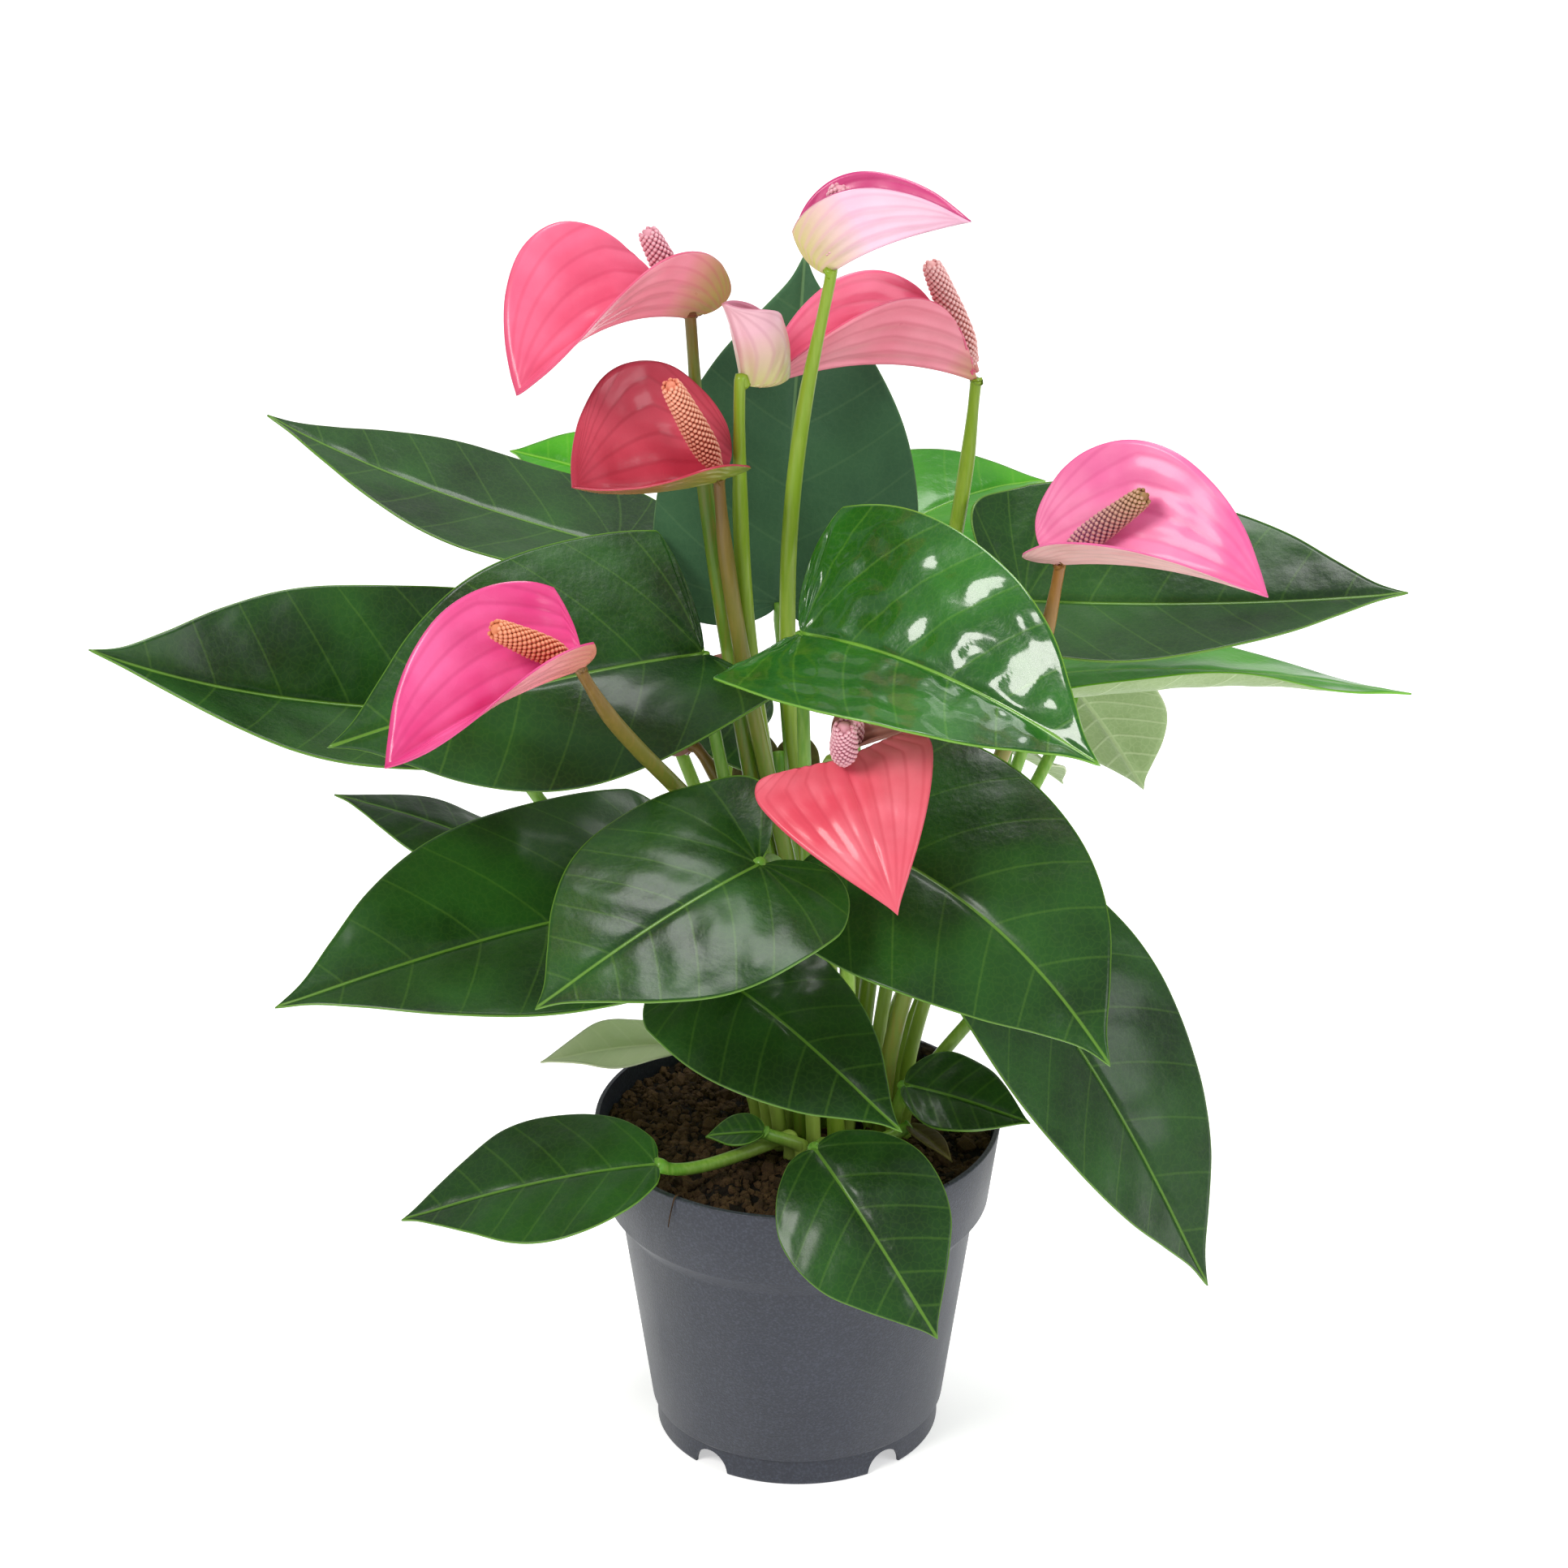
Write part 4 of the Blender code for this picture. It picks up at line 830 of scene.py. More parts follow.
def groupInputs(tree, pairs):
    for name, kind in pairs:
        tree.interface.new_socket(name=name, in_out="INPUT", socket_type=kind)
    tree.interface.new_socket(name="mesh", in_out="OUTPUT", socket_type="NodeSocketGeometry")
    return addNode(tree, "NodeGroupInput").outputs


def runTree(name, mesh, tree, values):
    # the tree's result on a mesh, as a plain mesh
    thing = bpy.data.objects.new(name, mesh)
    bpy.context.scene.collection.objects.link(thing)
    modifier = thing.modifiers.new("nodes", "NODES")
    modifier.node_group = tree
    for item in tree.interface.items_tree:
        if item.in_out == "INPUT" and item.name in values:
            modifier[item.identifier] = values[item.name]
    made = settle(thing)
    bpy.data.objects.remove(thing)
    made.name = name
    return made


def berryTree():
    # tiny flowers on a golden-angle spiral round a spike that stands on Z
    tree = bpy.data.node_groups.new("spadixFlowers", "GeometryNodeTree")
    entry = groupInputs(tree, (
        ("spike", "NodeSocketGeometry"), ("count", "NodeSocketInt"), ("length", "NodeSocketFloat"),
        ("radius", "NodeSocketFloat"), ("berry", "NodeSocketFloat"), ("finish", "NodeSocketMaterial")))
    index = addNode(tree, "GeometryNodeInputIndex").outputs[0]
    share = addNode(tree, "ShaderNodeMath", {"operation": "DIVIDE"},
                    {0: index, 1: entry["count"]}).outputs[0]
    share = addNode(tree, "ShaderNodeMapRange", {3: 0.05, 4: 0.985}, {0: share}).outputs[0]
    angle = addNode(tree, "ShaderNodeMath", {"operation": "MULTIPLY", 1: math.pi * (3 - math.sqrt(5))},
                    {0: index}).outputs[0]
    curve = addNode(tree, "ShaderNodeFloatCurve", links={"Value": share})
    line = curve.mapping.curves[0]
    line.points[0].location = (spadixSizes["steps"][0], spadixSizes["shares"][0])
    line.points[1].location = (spadixSizes["steps"][-1], spadixSizes["shares"][-1])
    for step, size in zip(spadixSizes["steps"][1:-1], spadixSizes["shares"][1:-1]):
        line.points.new(step, size)
    curve.mapping.update()
    reach = addNode(tree, "ShaderNodeMath", {"operation": "MULTIPLY"},
                    {0: curve.outputs[0], 1: entry["radius"]}).outputs[0]
    cosine = addNode(tree, "ShaderNodeMath", {"operation": "COSINE"}, {0: angle}).outputs[0]
    sine = addNode(tree, "ShaderNodeMath", {"operation": "SINE"}, {0: angle}).outputs[0]
    x = addNode(tree, "ShaderNodeMath", {"operation": "MULTIPLY"}, {0: cosine, 1: reach}).outputs[0]
    y = addNode(tree, "ShaderNodeMath", {"operation": "MULTIPLY"}, {0: sine, 1: reach}).outputs[0]
    z = addNode(tree, "ShaderNodeMath", {"operation": "MULTIPLY"}, {0: share, 1: entry["length"]}).outputs[0]
    place = addNode(tree, "ShaderNodeCombineXYZ", links={0: x, 1: y, 2: z}).outputs[0]
    out = addNode(tree, "ShaderNodeCombineXYZ", {2: 0.15}, {0: cosine, 1: sine}).outputs[0]
    points = addNode(tree, "GeometryNodePoints",
                     links={"Count": entry["count"], "Position": place}).outputs[0]
    marked = addNode(tree, "GeometryNodeStoreNamedAttribute",
                     {"data_type": "FLOAT", "domain": "POINT", "Name": "along"},
                     {"Geometry": points, "Value": share}).outputs[0]
    turn = addNode(tree, "FunctionNodeAlignRotationToVector", {"axis": "Z"}, {"Vector": out}).outputs[0]
    berry = addNode(tree, "GeometryNodeMeshUVSphere", {"Segments": 7, "Rings": 5},
                    {"Radius": entry["berry"]}).outputs[0]
    # height across each tiny flower, which the spadix material turns into painted light on its outer tip
    lift = addNode(tree, "GeometryNodeInputPosition").outputs[0]
    height = addNode(tree, "ShaderNodeSeparateXYZ", links={0: lift}).outputs[2]
    top = addNode(tree, "ShaderNodeMath", {"operation": "DIVIDE"}, {0: height, 1: entry["berry"]}).outputs[0]
    berry = addNode(tree, "GeometryNodeStoreNamedAttribute",
                    {"data_type": "FLOAT", "domain": "POINT", "Name": "berryTop"},
                    {"Geometry": berry, "Value": top}).outputs[0]
    instances = addNode(tree, "GeometryNodeInstanceOnPoints", {"Scale": (1, 1, 0.75)},
                        {"Points": marked, "Instance": berry, "Rotation": turn}).outputs[0]
    joined = addNode(tree, "GeometryNodeJoinGeometry")
    tree.links.new(instances, joined.inputs[0])
    tree.links.new(entry["spike"], joined.inputs[0])
    real = addNode(tree, "GeometryNodeRealizeInstances", links={"Geometry": joined.outputs[0]}).outputs[0]
    smooth = addNode(tree, "GeometryNodeSetShadeSmooth", links={0: real}).outputs[0]
    finished = addNode(tree, "GeometryNodeSetMaterial",
                       links={"Geometry": smooth, "Material": entry["finish"]}).outputs[0]
    addNode(tree, "NodeGroupOutput", links={0: finished})
    return tree


def buildSpadix(name, form, tree, material):
    length = form["spadix"] * mm
    radius = spadixSizes["diameter"] / 2 * mm
    thin = radius * spadixSizes["shares"][0] + sheets["thickness"] / 2 * mm + clearance
    above = max(thin / math.cos(math.radians(max(form["fold"]))), form["perch"] * mm)
    foot = form["knee"] + form["face"] * above + form["along"] * spadixSizes["set"] * mm
    way = Vector(unit(np.array(form.get("spadixWay", form["face"] + 0.5 * form["along"]), float)))
    count = detail["spikeSteps"]
    steps = np.linspace(0, 1, count)
    spikeRadii = (np.interp(steps, spadixSizes["steps"], spadixSizes["shares"]) * radius - 0.25 * mm)
    path = np.column_stack((np.zeros(count), np.zeros(count), steps * length))
    path[0, 2] = -0.4 * above  # the foot grows out of the spathe
    points, faces, slots, numbers = makeTube(path, spikeRadii, detail["spikeSides"], 0)
    # the spike between the tiny flowers keeps the darker colour, as painted shade
    numbers["berryTop"] = np.full(len(points), -0.3)
    spike = meshFrom("spike", points, faces, [material], slots, numbers)
    pitch = spadixSizes["pitch"] * mm
    count = int(2 * math.pi * radius * 0.85 * length / (pitch**2 * 0.87))
    values = dict(count=count, length=length, radius=radius, berry=spadixSizes["berry"] * mm,
                  finish=material)
    mesh = runTree(name + "_spadix", spike, tree, values)
    mesh.transform(Matrix.Translation(foot) @ way.to_track_quat("Z", "Y").to_matrix().to_4x4())
    addPiece(mesh, "spadix_orange", "spadix_" + name)


def buildFlowers(flowers):
    tree = berryTree()
    shades = {}
    for tone, pair in spatheTones.items():
        shades[tone] = [
            sheetMaterial(f"waxySpathe_{tone}_{face}", {**spatheLook, **look},
                          {"IOR": 1.4, "Specular IOR Level": 0.35, "Coat Weight": spatheLook["coat"],
                           "Coat Roughness": 0.16})
            for face, look in zip(("inner", "outer"), pair)]
    stalks = {tone: stemMaterial("flowerStalk_" + tone, look) for tone, look in stalkTones.items()}
    spikes = {tone: spadixMaterial("spadix_" + tone, look) for tone, look in spadixTones.items()}
    for name, form in flowers.items():
        sheet = makeSheet(form, *detail["spathe"], spatheVeins, spatheDips)
        addPiece(joinParts(name + "_spathe", (sheet,), shades[form["tone"]]), "spathe_pink",
                 "spathe_" + name)
        buildSpadix(name, form, tree, spikes[form["spike"]])
        many, count = detail["stalkSteps"], len(form["radii"])
        fine = smoothLine(np.vstack((form["path"], form["knee"])), many)
        radii = np.interp(np.linspace(0, count, many), np.arange(count), form["radii"])
        radii = np.maximum(radii, stalkTop / 2 * mm * (0.9 + 0.3 * np.linspace(0, 1, many) ** 30))
        tube = makeTube(fine, radii, detail["stalkSides"], 0)
        addPiece(joinParts(name + "_stalk", (tube,), [stalks[form["stalk"]]]), "stalk_green",
                 "flower_stalk_" + name)
    print("flowers built:", len(flowers))


# Pot

pot = dict(
    wall=1.4, bandHeight=25, bandTaper=3.3, step=4.2, stepHeight=4.5, lip=0.6, bodyTaper=8.8, footHeight=9,
    footInset=1.5, footRound=1.2, footStep=0.8, notchWidth=12, notchHeight=6.5,
    notchAngles=(52, 128, 232, 308),
    drain=8, drainCircle=56, pad=30, padFlare=2, segments=144)


def turned(profile, segments):
    # a solid of revolution from a closed profile of radius and height, run anticlockwise
    points, rings = [], []
    angles = 2 * np.pi * np.arange(segments) / segments
    for radius, height in profile:
        if radius < 1e-6:
            rings.append([len(points)])
            points.append((0, 0, height))
            continue
        rings.append(list(range(len(points), len(points) + segments)))
        points += [(radius * math.cos(a), radius * math.sin(a), height) for a in angles]
    faces = []
    for low, high in zip(rings, rings[1:]):
        for k in range(segments):
            n = (k + 1) % segments
            corners = (low[k % len(low)], low[n % len(low)], high[n % len(high)], high[k % len(high)])
            faces.append(tuple(dict.fromkeys(corners)))
    return points, faces


def potRadii():
    bandLow = potHeight - pot["bandHeight"] * mm
    bandLowRadius = rimRadius - pot["bandTaper"] * mm
    bodyTop = bandLowRadius - pot["step"] * mm
    bodyLow = bodyTop - pot["bodyTaper"] * mm
    return bandLow, bandLow - pot["stepHeight"] * mm, bandLowRadius, bodyTop, bodyLow


def insideWall(offset):
    bandLow, stepLow, bandLowRadius, bodyTop, bodyLow = potRadii()
    inset = pot["wall"] * mm + offset
    floor = (pot["footHeight"] + pot["wall"]) * mm
    return ((bodyLow - inset, floor + offset), (bodyTop - inset, stepLow + offset),
            (bandLowRadius - inset, bandLow + offset))


def buildPot():
    bandLow, stepLow, bandLowRadius, bodyTop, bodyLow = potRadii()
    wall = pot["wall"] * mm
    lip = pot["lip"] * mm
    footHeight = pot["footHeight"] * mm
    footRadius = bodyLow - pot["footInset"] * mm
    padRadius = pot["pad"] / 2 * mm
    padTop = padRadius + pot["padFlare"] * mm
    soft = 0.5 * mm  # the moulded edges are slightly rounded
    quarter = [math.radians(a) for a in (0, 30, 60, 90)]
    rimEdge = [(rimRadius - lip + lip * math.cos(a), potHeight - lip + lip * math.sin(a)) for a in quarter]
    footEdge = [(footRadius - pot["footRound"] / 2 * mm * (1 - math.cos(a)),
                 pot["footRound"] * mm * (1 - math.sin(a)))
                for a in reversed(quarter)]
    profile = [
        (0, 0), (padRadius, 0), (padTop, footHeight), (footRadius - wall, footHeight),
        (footRadius - wall, 0),
        *footEdge, (footRadius, footHeight - pot["footStep"] * mm), (bodyLow - soft, footHeight - 0.3 * mm),
        (bodyLow, footHeight + soft), (bodyTop - soft / 4, stepLow - 2 * soft),
        (bodyTop + soft / 2, stepLow),
        (bandLowRadius - soft, bandLow - soft / 2), (bandLowRadius, bandLow + soft), *rimEdge,
        (rimRadius - wall, potHeight), *reversed(insideWall(0)),
        (padTop - wall, footHeight + wall), (padRadius - wall, wall), (0, wall),
    ]
    points, faces = turned(profile, pot["segments"])
    plastic = potPlastic()
    thing = bpy.data.objects.new("pot_shell", meshFrom("pot_shell", points, faces, [plastic]))
    bpy.context.scene.collection.objects.link(thing)
    cutter = potCutters(footRadius, wall, footHeight)
    modifier = thing.modifiers.new("openings", "BOOLEAN")
    modifier.operation = "DIFFERENCE"
    modifier.solver = "EXACT"
    modifier.object = cutter
    mesh = settle(thing)
    bpy.data.objects.remove(thing)
    bpy.data.objects.remove(cutter)
    mesh.name = "pot_shell"
    mesh.shade_smooth()
    mesh.set_sharp_from_angle(angle=math.radians(32))
    addPiece(mesh, "dark_polypropylene", "pot")
    print("pot built")


def potCutters(footRadius, wall, footHeight):
    # water channels through the foot, and drain holes in the floor beside them
    work = bmesh.new()
    for degrees in pot["notchAngles"]:
        angle = math.radians(degrees)
        out = np.array((math.cos(angle), math.sin(angle), 0))
        across = np.array((-math.sin(angle), math.cos(angle), 0))
        half = pot["notchWidth"] / 2 * mm
        high = pot["notchHeight"] * mm
        arch = [(half,
                 -high), *[(half * math.cos(a), high * math.sin(a)) for a in np.linspace(0, math.pi, 17)],
                 (-half, -high)]
        inner = [work.verts.new(out * (footRadius - 3 * wall) + across * u + np.array((0, 0, z))) for u,
                 z in arch]
        outer = [work.verts.new(out * (footRadius + 3 * wall) + across * u + np.array((0, 0, z))) for u,
                 z in arch]
        work.faces.new(inner)
        work.faces.new(outer[::-1])
        for k in range(len(arch)):
            n = (k + 1) % len(arch)
            work.faces.new((inner[n], inner[k], outer[k], outer[n]))
        drain = pot["drain"] / 2 * mm
        hole = bmesh.ops.create_cone(work, cap_ends=True, segments=32, radius1=drain, radius2=drain,
                                     depth=4 * wall)
        centre = out * pot["drainCircle"] / 2 * mm + np.array((0, 0, footHeight + wall / 2))
        bmesh.ops.translate(work, verts=hole["verts"], vec=centre)
    bmesh.ops.recalc_face_normals(work, faces=work.faces)
    mesh = bpy.data.meshes.new("cutters")
    work.to_mesh(mesh)
    work.free()
    cutter = bpy.data.objects.new("cutters", mesh)
    bpy.context.scene.collection.objects.link(cutter)
    return cutter


def potPlastic():
    # Injection-moulded polypropylene: a fine grained skin that scatters light into a soft sheen
    material, tree, shader = newMaterial("mouldedPolypropylene", {"IOR": 1.49, "Specular IOR Level": 0.5})
    place = addNode(tree, "ShaderNodeTexCoord").outputs["Object"]
    cloud = addNode(tree, "ShaderNodeTexNoise", {"Scale": 1 / (30 * mm), "Detail": 4.0}, {"Vector": place})
    colour = addNode(tree, "ShaderNodeMix",
                     {"data_type": "RGBA", 6: linear("#1D212C"), 7: linear("#272B39")},
                     {0: cloud.outputs[0]})
    # the lighter flecks are painted glints, light caught by the spark-eroded grain; the grain is really
    # about 0.3 mm, and 0.8 mm is the finest that shows
    glintNoise = addNode(tree, "ShaderNodeTexNoise", {"Scale": 1 / (0.8 * mm), "Detail": 1.0}, {"Vector": place})
    paintedGlint = addNode(tree, "ShaderNodeMapRange", {1: 0.45, 2: 0.75, 3: 0.0, 4: 0.35}, {0: glintNoise.outputs[0]})
    colour = addNode(tree, "ShaderNodeMix", {"data_type": "RGBA", 7: linear("#4C5262")},
                     {0: paintedGlint.outputs[0], 6: colour.outputs[2]})
    tree.links.new(colour.outputs[2], shader.inputs["Base Color"])
    grain = addNode(tree, "ShaderNodeTexNoise", {"Scale": 1 / (0.55 * mm), "Detail": 2.0}, {"Vector": place})
    scuffPlace = addNode(tree, "ShaderNodeMapping", {"Scale": (1, 1, 0.4)}, {"Vector": place})
    scuff = addNode(tree, "ShaderNodeTexNoise", {"Scale": 1 / (12 * mm), "Detail": 5.0},
                    {"Vector": scuffPlace.outputs[0]})
    rough = addNode(tree, "ShaderNodeMapRange", {1: 0.35, 2: 0.7, 3: 0.42, 4: 0.48}, {0: scuff.outputs[0]})
    tree.links.new(rough.outputs[0], shader.inputs["Roughness"])
    bump = addNode(tree, "ShaderNodeBump", {"Strength": 0.6, "Distance": 0.2 * mm},
                   {"Height": grain.outputs[0]})
    tree.links.new(bump.outputs[0], shader.inputs["Normal"])
    return material


# Soil

soil = dict(
    lump=3.6, crumbs=430000, crumb=2.1, chunks=9000, chunk=6.5, fibres=16000, fibre=8.0, rings=60,
    segments=144, seed=4)


def peatMaterial(name, dark, light, grainSize):
    # Damp peat and composted bark: broken, matt, darker where it is wet
    material, tree, shader = newMaterial(name, {"Roughness": 0.9, "IOR": 1.4, "Specular IOR Level": 0.3})
    place = addNode(tree, "ShaderNodeTexCoord").outputs["Object"]
    cloud = addNode(tree, "ShaderNodeTexNoise", {"Scale": 1 / (6 * mm), "Detail": 6.0, "Roughness": 0.65},
                    {"Vector": place})
    shade = addNode(tree, "ShaderNodeAttribute", {"attribute_name": "shade"}).outputs["Fac"]
    mixed = addNode(tree, "ShaderNodeMath", {"operation": "MULTIPLY_ADD", 1: 0.3},
                    {0: shade, 2: cloud.outputs[0]})
    share = addNode(tree, "ShaderNodeMapRange", {1: 0.45, 2: 0.95}, {0: mixed.outputs[0]})
    colour = addNode(tree, "ShaderNodeMix", {"data_type": "RGBA", 6: linear(dark), 7: linear(light)},
                     {0: share.outputs[0]})
    tree.links.new(colour.outputs[2], shader.inputs["Base Color"])
    grain = addNode(tree, "ShaderNodeTexNoise", {"Scale": 1 / (grainSize * mm), "Detail": 4.0},
                    {"Vector": place})
    bump = addNode(tree, "ShaderNodeBump", {"Strength": 0.8, "Distance": 0.5 * mm},
                   {"Height": grain.outputs[0]})
    tree.links.new(bump.outputs[0], shader.inputs["Normal"])
    return material


def scatterTree():
    # crumbs or fibres strewn over a mesh, each turned and sized at random
    tree = bpy.data.node_groups.new("soilScatter", "GeometryNodeTree")
    entry = groupInputs(tree, (
        ("ground", "NodeSocketGeometry"), ("density", "NodeSocketFloat"), ("seed", "NodeSocketInt"),
        ("bit", "NodeSocketObject"), ("least", "NodeSocketFloat"), ("most", "NodeSocketFloat"),
        ("tilt", "NodeSocketFloat"), ("finish", "NodeSocketMaterial")))
    strewn = addNode(tree, "GeometryNodeDistributePointsOnFaces", links={
        "Mesh": entry["ground"], "Density": entry["density"], "Seed": entry["seed"]})
    tilt = addNode(tree, "ShaderNodeCombineXYZ", {2: 6.283}, {0: entry["tilt"], 1: entry["tilt"]}).outputs[0]
    turn = addNode(tree, "FunctionNodeRandomValue", {"data_type": "FLOAT_VECTOR"},
                   {1: tilt, "Seed": entry["seed"]}).outputs[0]
    size = addNode(tree, "FunctionNodeRandomValue", {"data_type": "FLOAT"},
                   {2: entry["least"], 3: entry["most"], "Seed": entry["seed"]}).outputs[1]
    source = addNode(tree, "GeometryNodeObjectInfo", links={"Object": entry["bit"]}).outputs["Geometry"]
    tint = addNode(tree, "FunctionNodeRandomValue", {"data_type": "FLOAT"},
                   {"Seed": entry["seed"]}).outputs[1]
    tinted = addNode(tree, "GeometryNodeStoreNamedAttribute",
                     {"data_type": "FLOAT", "domain": "POINT", "Name": "shade"},
                     {"Geometry": strewn.outputs["Points"], "Value": tint}).outputs[0]
    bits = addNode(tree, "GeometryNodeInstanceOnPoints", links={
        "Points": tinted, "Instance": source, "Rotation": turn, "Scale": size}).outputs[0]
    real = addNode(tree, "GeometryNodeRealizeInstances", links={"Geometry": bits}).outputs[0]
    finished = addNode(tree, "GeometryNodeSetMaterial",
                       links={"Geometry": real, "Material": entry["finish"]}).outputs[0]
    addNode(tree, "NodeGroupOutput", links={0: finished})
    return tree


def soilMesh(material):
    wallLine = insideWall(clearance)
    bandLow = potHeight - pot["bandHeight"] * mm
    slope = pot["bandTaper"] / (pot["bandHeight"] - pot["lip"])
    edge = wallLine[-1][0] + (soilTop - bandLow - clearance) * slope
    padInside = (pot["pad"] / 2 - pot["wall"]) * mm - clearance
    floor = (pot["footHeight"] + pot["wall"]) * mm + clearance
    profile = [(0, pot["wall"] * mm + clearance), (padInside, pot["wall"] * mm + clearance),
               (padInside + pot["padFlare"] * mm, floor), *wallLine]
    profile += [(radius, soilTop) for radius in np.linspace(edge, 0, soil["rings"])]
    points, faces = turned(profile, soil["segments"])
    points = np.array(points)
    on = points[:, 2] > soilTop - clearance / 2
    x, y = points[on, 0] / mm, points[on, 1] / mm
    lumps = np.zeros(len(x))
    rng = np.random.default_rng(soil["seed"])
    for wave in (19, 11, 7, 4.3, 2.9):
        for _ in range(4):
            angle, shift = rng.uniform(0, 2 * np.pi, 2)
            lumps += wave / 60 * np.sin((x * np.cos(angle) + y * np.sin(angle)) * 2 * np.pi / wave + shift)
    away = np.clip((edge / mm - np.hypot(x, y)) / 8, 0.25, 1)
    points[on, 2] += 0.5 * soil["lump"] * np.clip(lumps, -1.2, 1.2) * away * mm
    top = [face for face in faces if all(on[k] for k in face)]
    return meshFrom("soil_bed", points, faces, [material]), meshFrom("soil_top", points, top, [material])


def linkBit(name, mesh):
    thing = bpy.data.objects.new(name, mesh)
    bpy.context.scene.collection.objects.link(thing)
    return thing


def buildSoil():
    peat = peatMaterial("dampPeat", "#0E0A07", "#2A1E14", 0.8)
    crumbPeat = peatMaterial("barkCrumbs", "#150E09", "#5A432C", 0.5)
    straw = peatMaterial("peatFibres", "#2A1D12", "#6A4E30", 0.4)
    bed, top = soilMesh(peat)
    tree = scatterTree()
    work = bmesh.new()
    bmesh.ops.create_icosphere(work, subdivisions=1, radius=0.5 * mm)
    rng = np.random.default_rng(soil["seed"])
    for corner in work.verts:
        corner.co *= Vector(rng.uniform(0.65, 1.25, 3))
    crumbMesh = bpy.data.meshes.new("crumb")
    work.to_mesh(crumbMesh)
    work.free()
    crumb = linkBit("crumb", crumbMesh)
    bow = np.linspace(0, 1, 7)
    path = np.column_stack(((bow - 0.5) * 1.0, 0.16 * np.sin(bow * 4.4), 0.05 * np.sin(bow * 3.1))) * mm
    points, faces = makeTube(path, np.full(7, 0.022 * mm), 5, 0)[:2]
    fibre = linkBit("fibre", meshFrom("fibre", points, faces, []))
    crumbs = runTree("soil_crumbs", top, tree, dict(
        density=float(soil["crumbs"]), seed=3, bit=crumb, least=0.6, most=soil["crumb"] * 1.6, tilt=6.283,
        finish=crumbPeat))
    fibres = runTree("soil_fibres", top, tree, dict(
        density=float(soil["fibres"]), seed=9, bit=fibre, least=3.0, most=soil["fibre"] * 1.4, tilt=0.5,
        finish=straw))
    chunks = runTree("soil_chunks", top, tree, dict(
        density=float(soil["chunks"]), seed=5, bit=crumb, least=3.0, most=soil["chunk"], tilt=6.283,
        finish=crumbPeat))
    for bit in (crumb, fibre):
        bpy.data.objects.remove(bit)
    for mesh in (crumbs, fibres, chunks):
        keepInside(mesh)
    for mesh in (bed, crumbs, fibres, chunks, barkChips(crumbPeat), rootHair(straw)):
        addPiece(mesh, "peat", "potting_soil")
    print("soil built:", len(crumbs.polygons), "crumb faces")


def barkChips(material):
    # shreds of composted bark caught against the back of the rim, and a few by the front
    rng = np.random.default_rng(soil["seed"] + 1)
    work = bmesh.new()
    for degrees, inside, above, length in (
            (36, 5, 5, 11), (42, 4, 8, 9), (47, 7, 4, 12), (52, 5, 6, 8), (27, 3, 5, 6), (250, 9, 0, 9),
            (262, 7, 1, 7),
            (330, 8, 1, 8), (200, 9, 1, 8)):
        angle = math.radians(degrees)
        radius = rimRadius - (pot["wall"] + inside) * mm
        made = bmesh.ops.create_icosphere(work, subdivisions=2, radius=0.5 * mm)["verts"]
        for corner in made:
            corner.co *= 1 + 0.3 * rng.uniform(-1, 1)
        bmesh.ops.scale(work, verts=made, vec=(length, length * 0.42, length * 0.26))
        bmesh.ops.rotate(work, verts=made, matrix=Matrix.Rotation(rng.uniform(-0.7, 0.7), 3, "Y"))
        bmesh.ops.rotate(work, verts=made, matrix=Matrix.Rotation(rng.uniform(0, 6.3), 3, "Z"))
        bmesh.ops.translate(work, verts=made,
                            vec=(radius * math.cos(angle), radius * math.sin(angle), soilTop + above * mm))
    mesh = bpy.data.meshes.new("soil_chips")
    work.to_mesh(mesh)
    work.free()
    mesh.materials.append(material)
    return mesh


def rootHair(material):
    # one fine root that has come over the rim at the front left, and two on the soil by the right side
    parts = []
    for degrees, line in (
            (233, ((-5, -3), (-2, 0.3), (0.35, 0.5), (0.55, -3), (0.3, -7), (0.75, -10))),
            (318, ((-16, -5), (-10, -3.4), (-6, -4.6), (-2.5, -1.2), (-0.4, 0.4))),
            (322, ((-14, -4), (-9, -4.6), (-5, -2.2), (-1.8, -2.6)))):
        angle = math.radians(degrees)
        out = np.array((math.cos(angle), math.sin(angle), 0))
        across = np.array((-math.sin(angle), math.cos(angle), 0))
        path = [out * (rimRadius + u * mm) + across * 1.2 * mm * math.sin(k) + np.array((0, 0,
                                                                                         potHeight + w * mm))
                for k, (u, w) in enumerate(line)]
        path = smoothLine(path, 40)
        parts.append(makeTube(path, np.linspace(0.3, 0.16, 40) * mm, 6, 0))
    return joinParts("soil_roots", parts, [material])


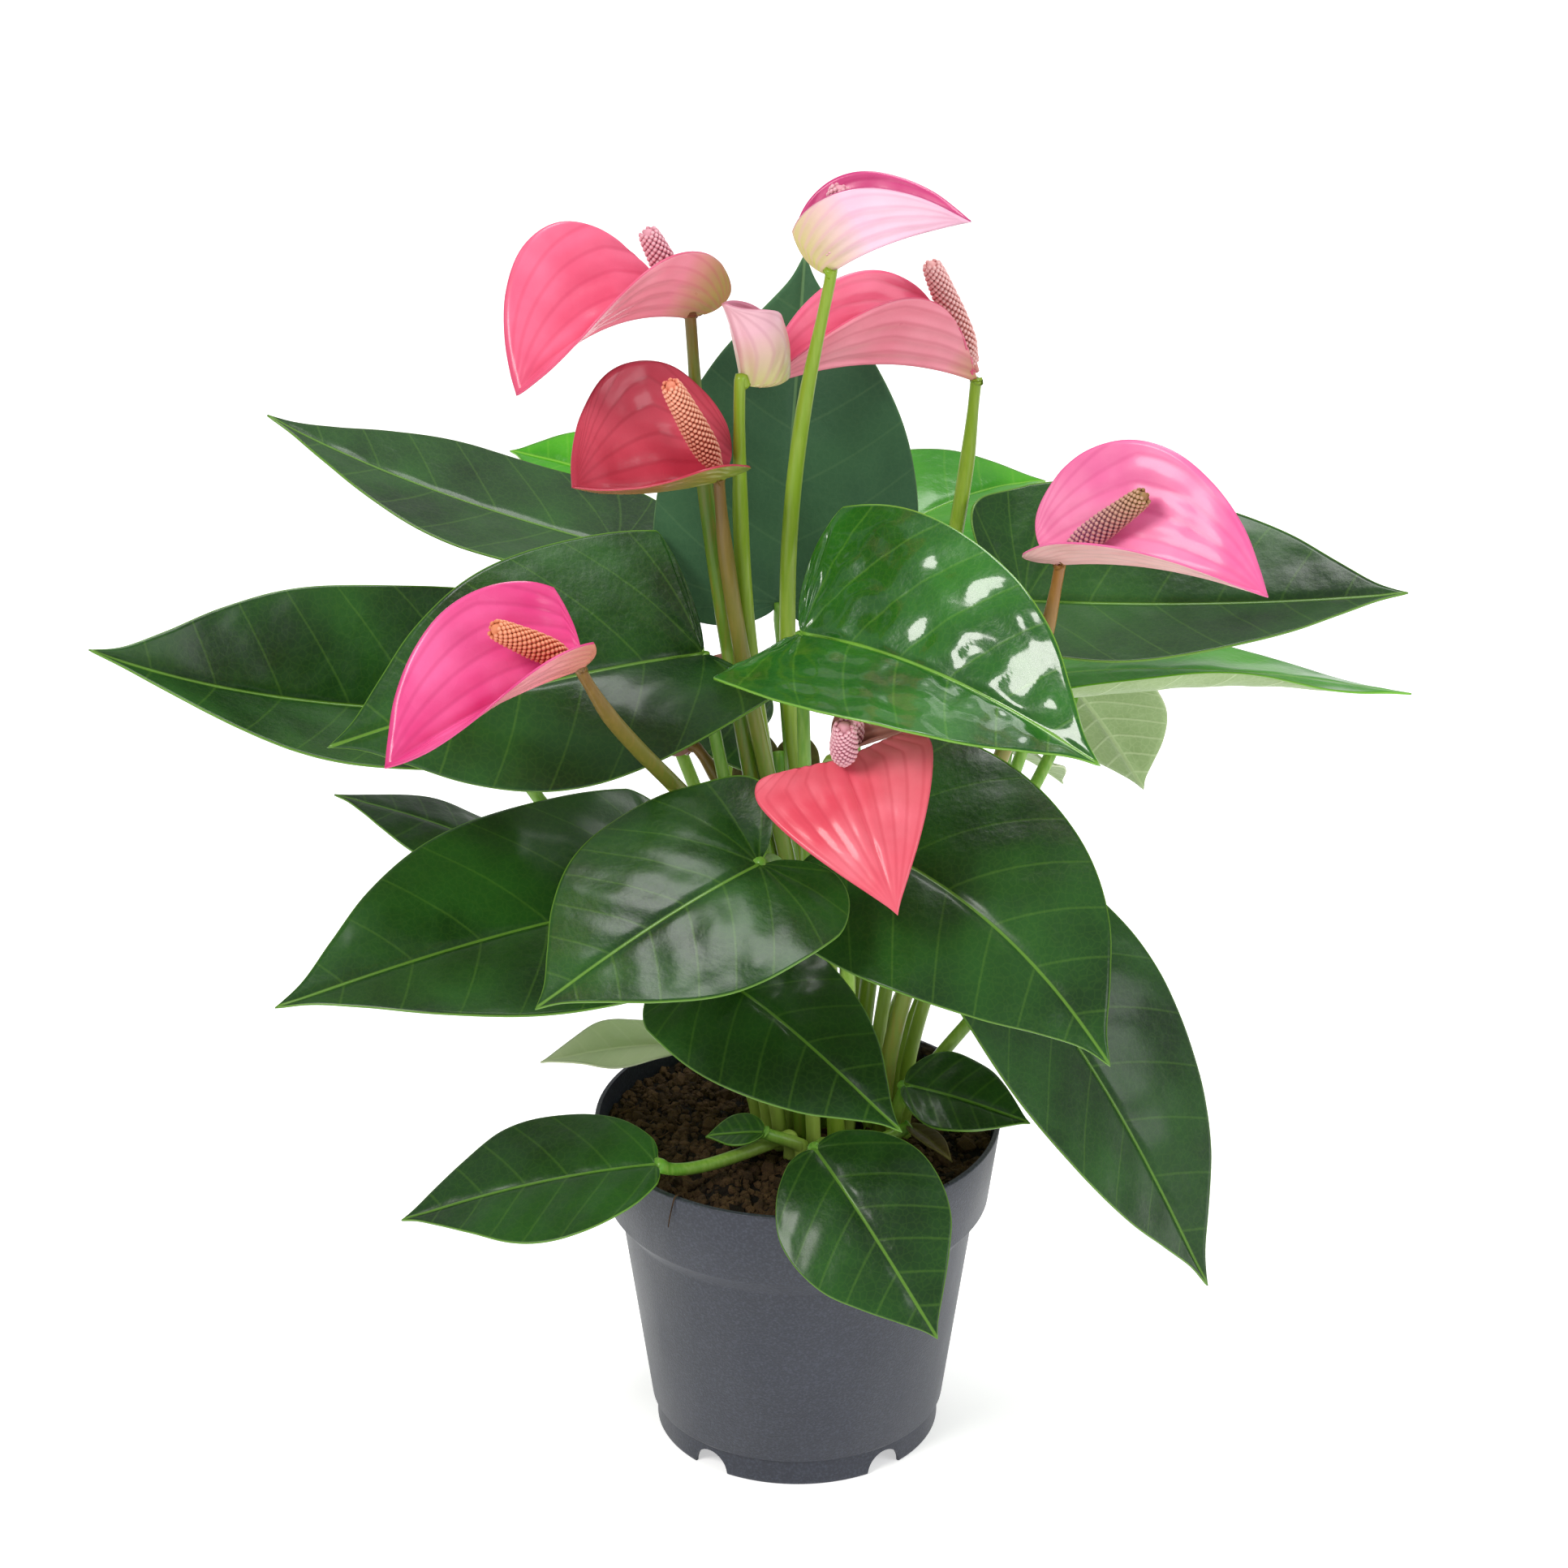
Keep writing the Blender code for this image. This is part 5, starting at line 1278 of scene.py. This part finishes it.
def keepInside(mesh):
    # bits that would poke through the pot's wall are drawn back towards its axis
    reach = rimRadius - (pot["wall"] + 0.9) * mm
    flat = np.empty(len(mesh.vertices) * 3)
    mesh.vertices.foreach_get("co", flat)
    places = flat.reshape(-1, 3)
    radius = np.hypot(places[:, 0], places[:, 1])
    places[:, :2] *= np.minimum(1, reach / np.maximum(radius, reach))[:, None]
    mesh.vertices.foreach_set("co", places.ravel())


# Floor, light and camera

stage = dict(
    camera=(-0.004, -1.500, 0.948), down=26.16, lens=133.5,
    floor="#FCFCFC", world=(1.0, 1.0, 1.0, 1.0), worldStrength=0.5, floorGlow=0.5)


def buildStage():
    floor = meshFrom("floor", [(-9, -9, 0), (9, -9, 0), (9, 9, 0), (-9, 9, 0)], [(0, 1, 2, 3)], [])
    material, _, _ = newMaterial("paleFloor", {
        "Base Color": linear(stage["floor"]), "Roughness": 0.8,
        "Emission Color": linear(stage["floor"]), "Emission Strength": stage["floorGlow"]})
    floor.materials.append(material)
    ground = bpy.data.objects.new("floor", floor)
    bpy.context.scene.collection.objects.link(ground)
    lens = bpy.data.cameras.new("camera")
    lens.lens = stage["lens"]
    lens.sensor_width = 36
    lens.clip_start = 0.05
    camera = bpy.data.objects.new("camera", lens)
    camera.location = stage["camera"]
    camera.rotation_euler = (math.radians(90 - stage["down"]), 0, 0)
    bpy.context.scene.collection.objects.link(camera)
    bpy.context.scene.camera = camera
    for name, place, size, power, colour in (
            ("key", (-0.75, -0.95, 1.35), 0.55, 14, (1.0, 0.98, 0.95)),
            ("fill", (1.15, -0.7, 0.7), 0.7, 5, (0.97, 0.98, 1.0)),
            ("top", (0.2, 0.35, 1.5), 0.6, 9, (1.0, 1.0, 1.0))):
        light = bpy.data.lights.new(name, "AREA")
        light.shape = "DISK"
        light.size = size
        light.energy = power
        light.color = colour
        lamp = bpy.data.objects.new(name, light)
        lamp.location = place
        aim = Vector((0, 0, 0.22)) - Vector(place)
        lamp.rotation_euler = aim.to_track_quat("-Z", "Y").to_euler()
        bpy.context.scene.collection.objects.link(lamp)
    world = bpy.data.worlds.new("studio")
    world.use_nodes = True
    world.node_tree.nodes["Background"].inputs[0].default_value = stage["world"]
    world.node_tree.nodes["Background"].inputs[1].default_value = stage["worldStrength"]
    bpy.context.scene.world = world
    bpy.context.scene.view_settings.view_transform = "Standard"


main()
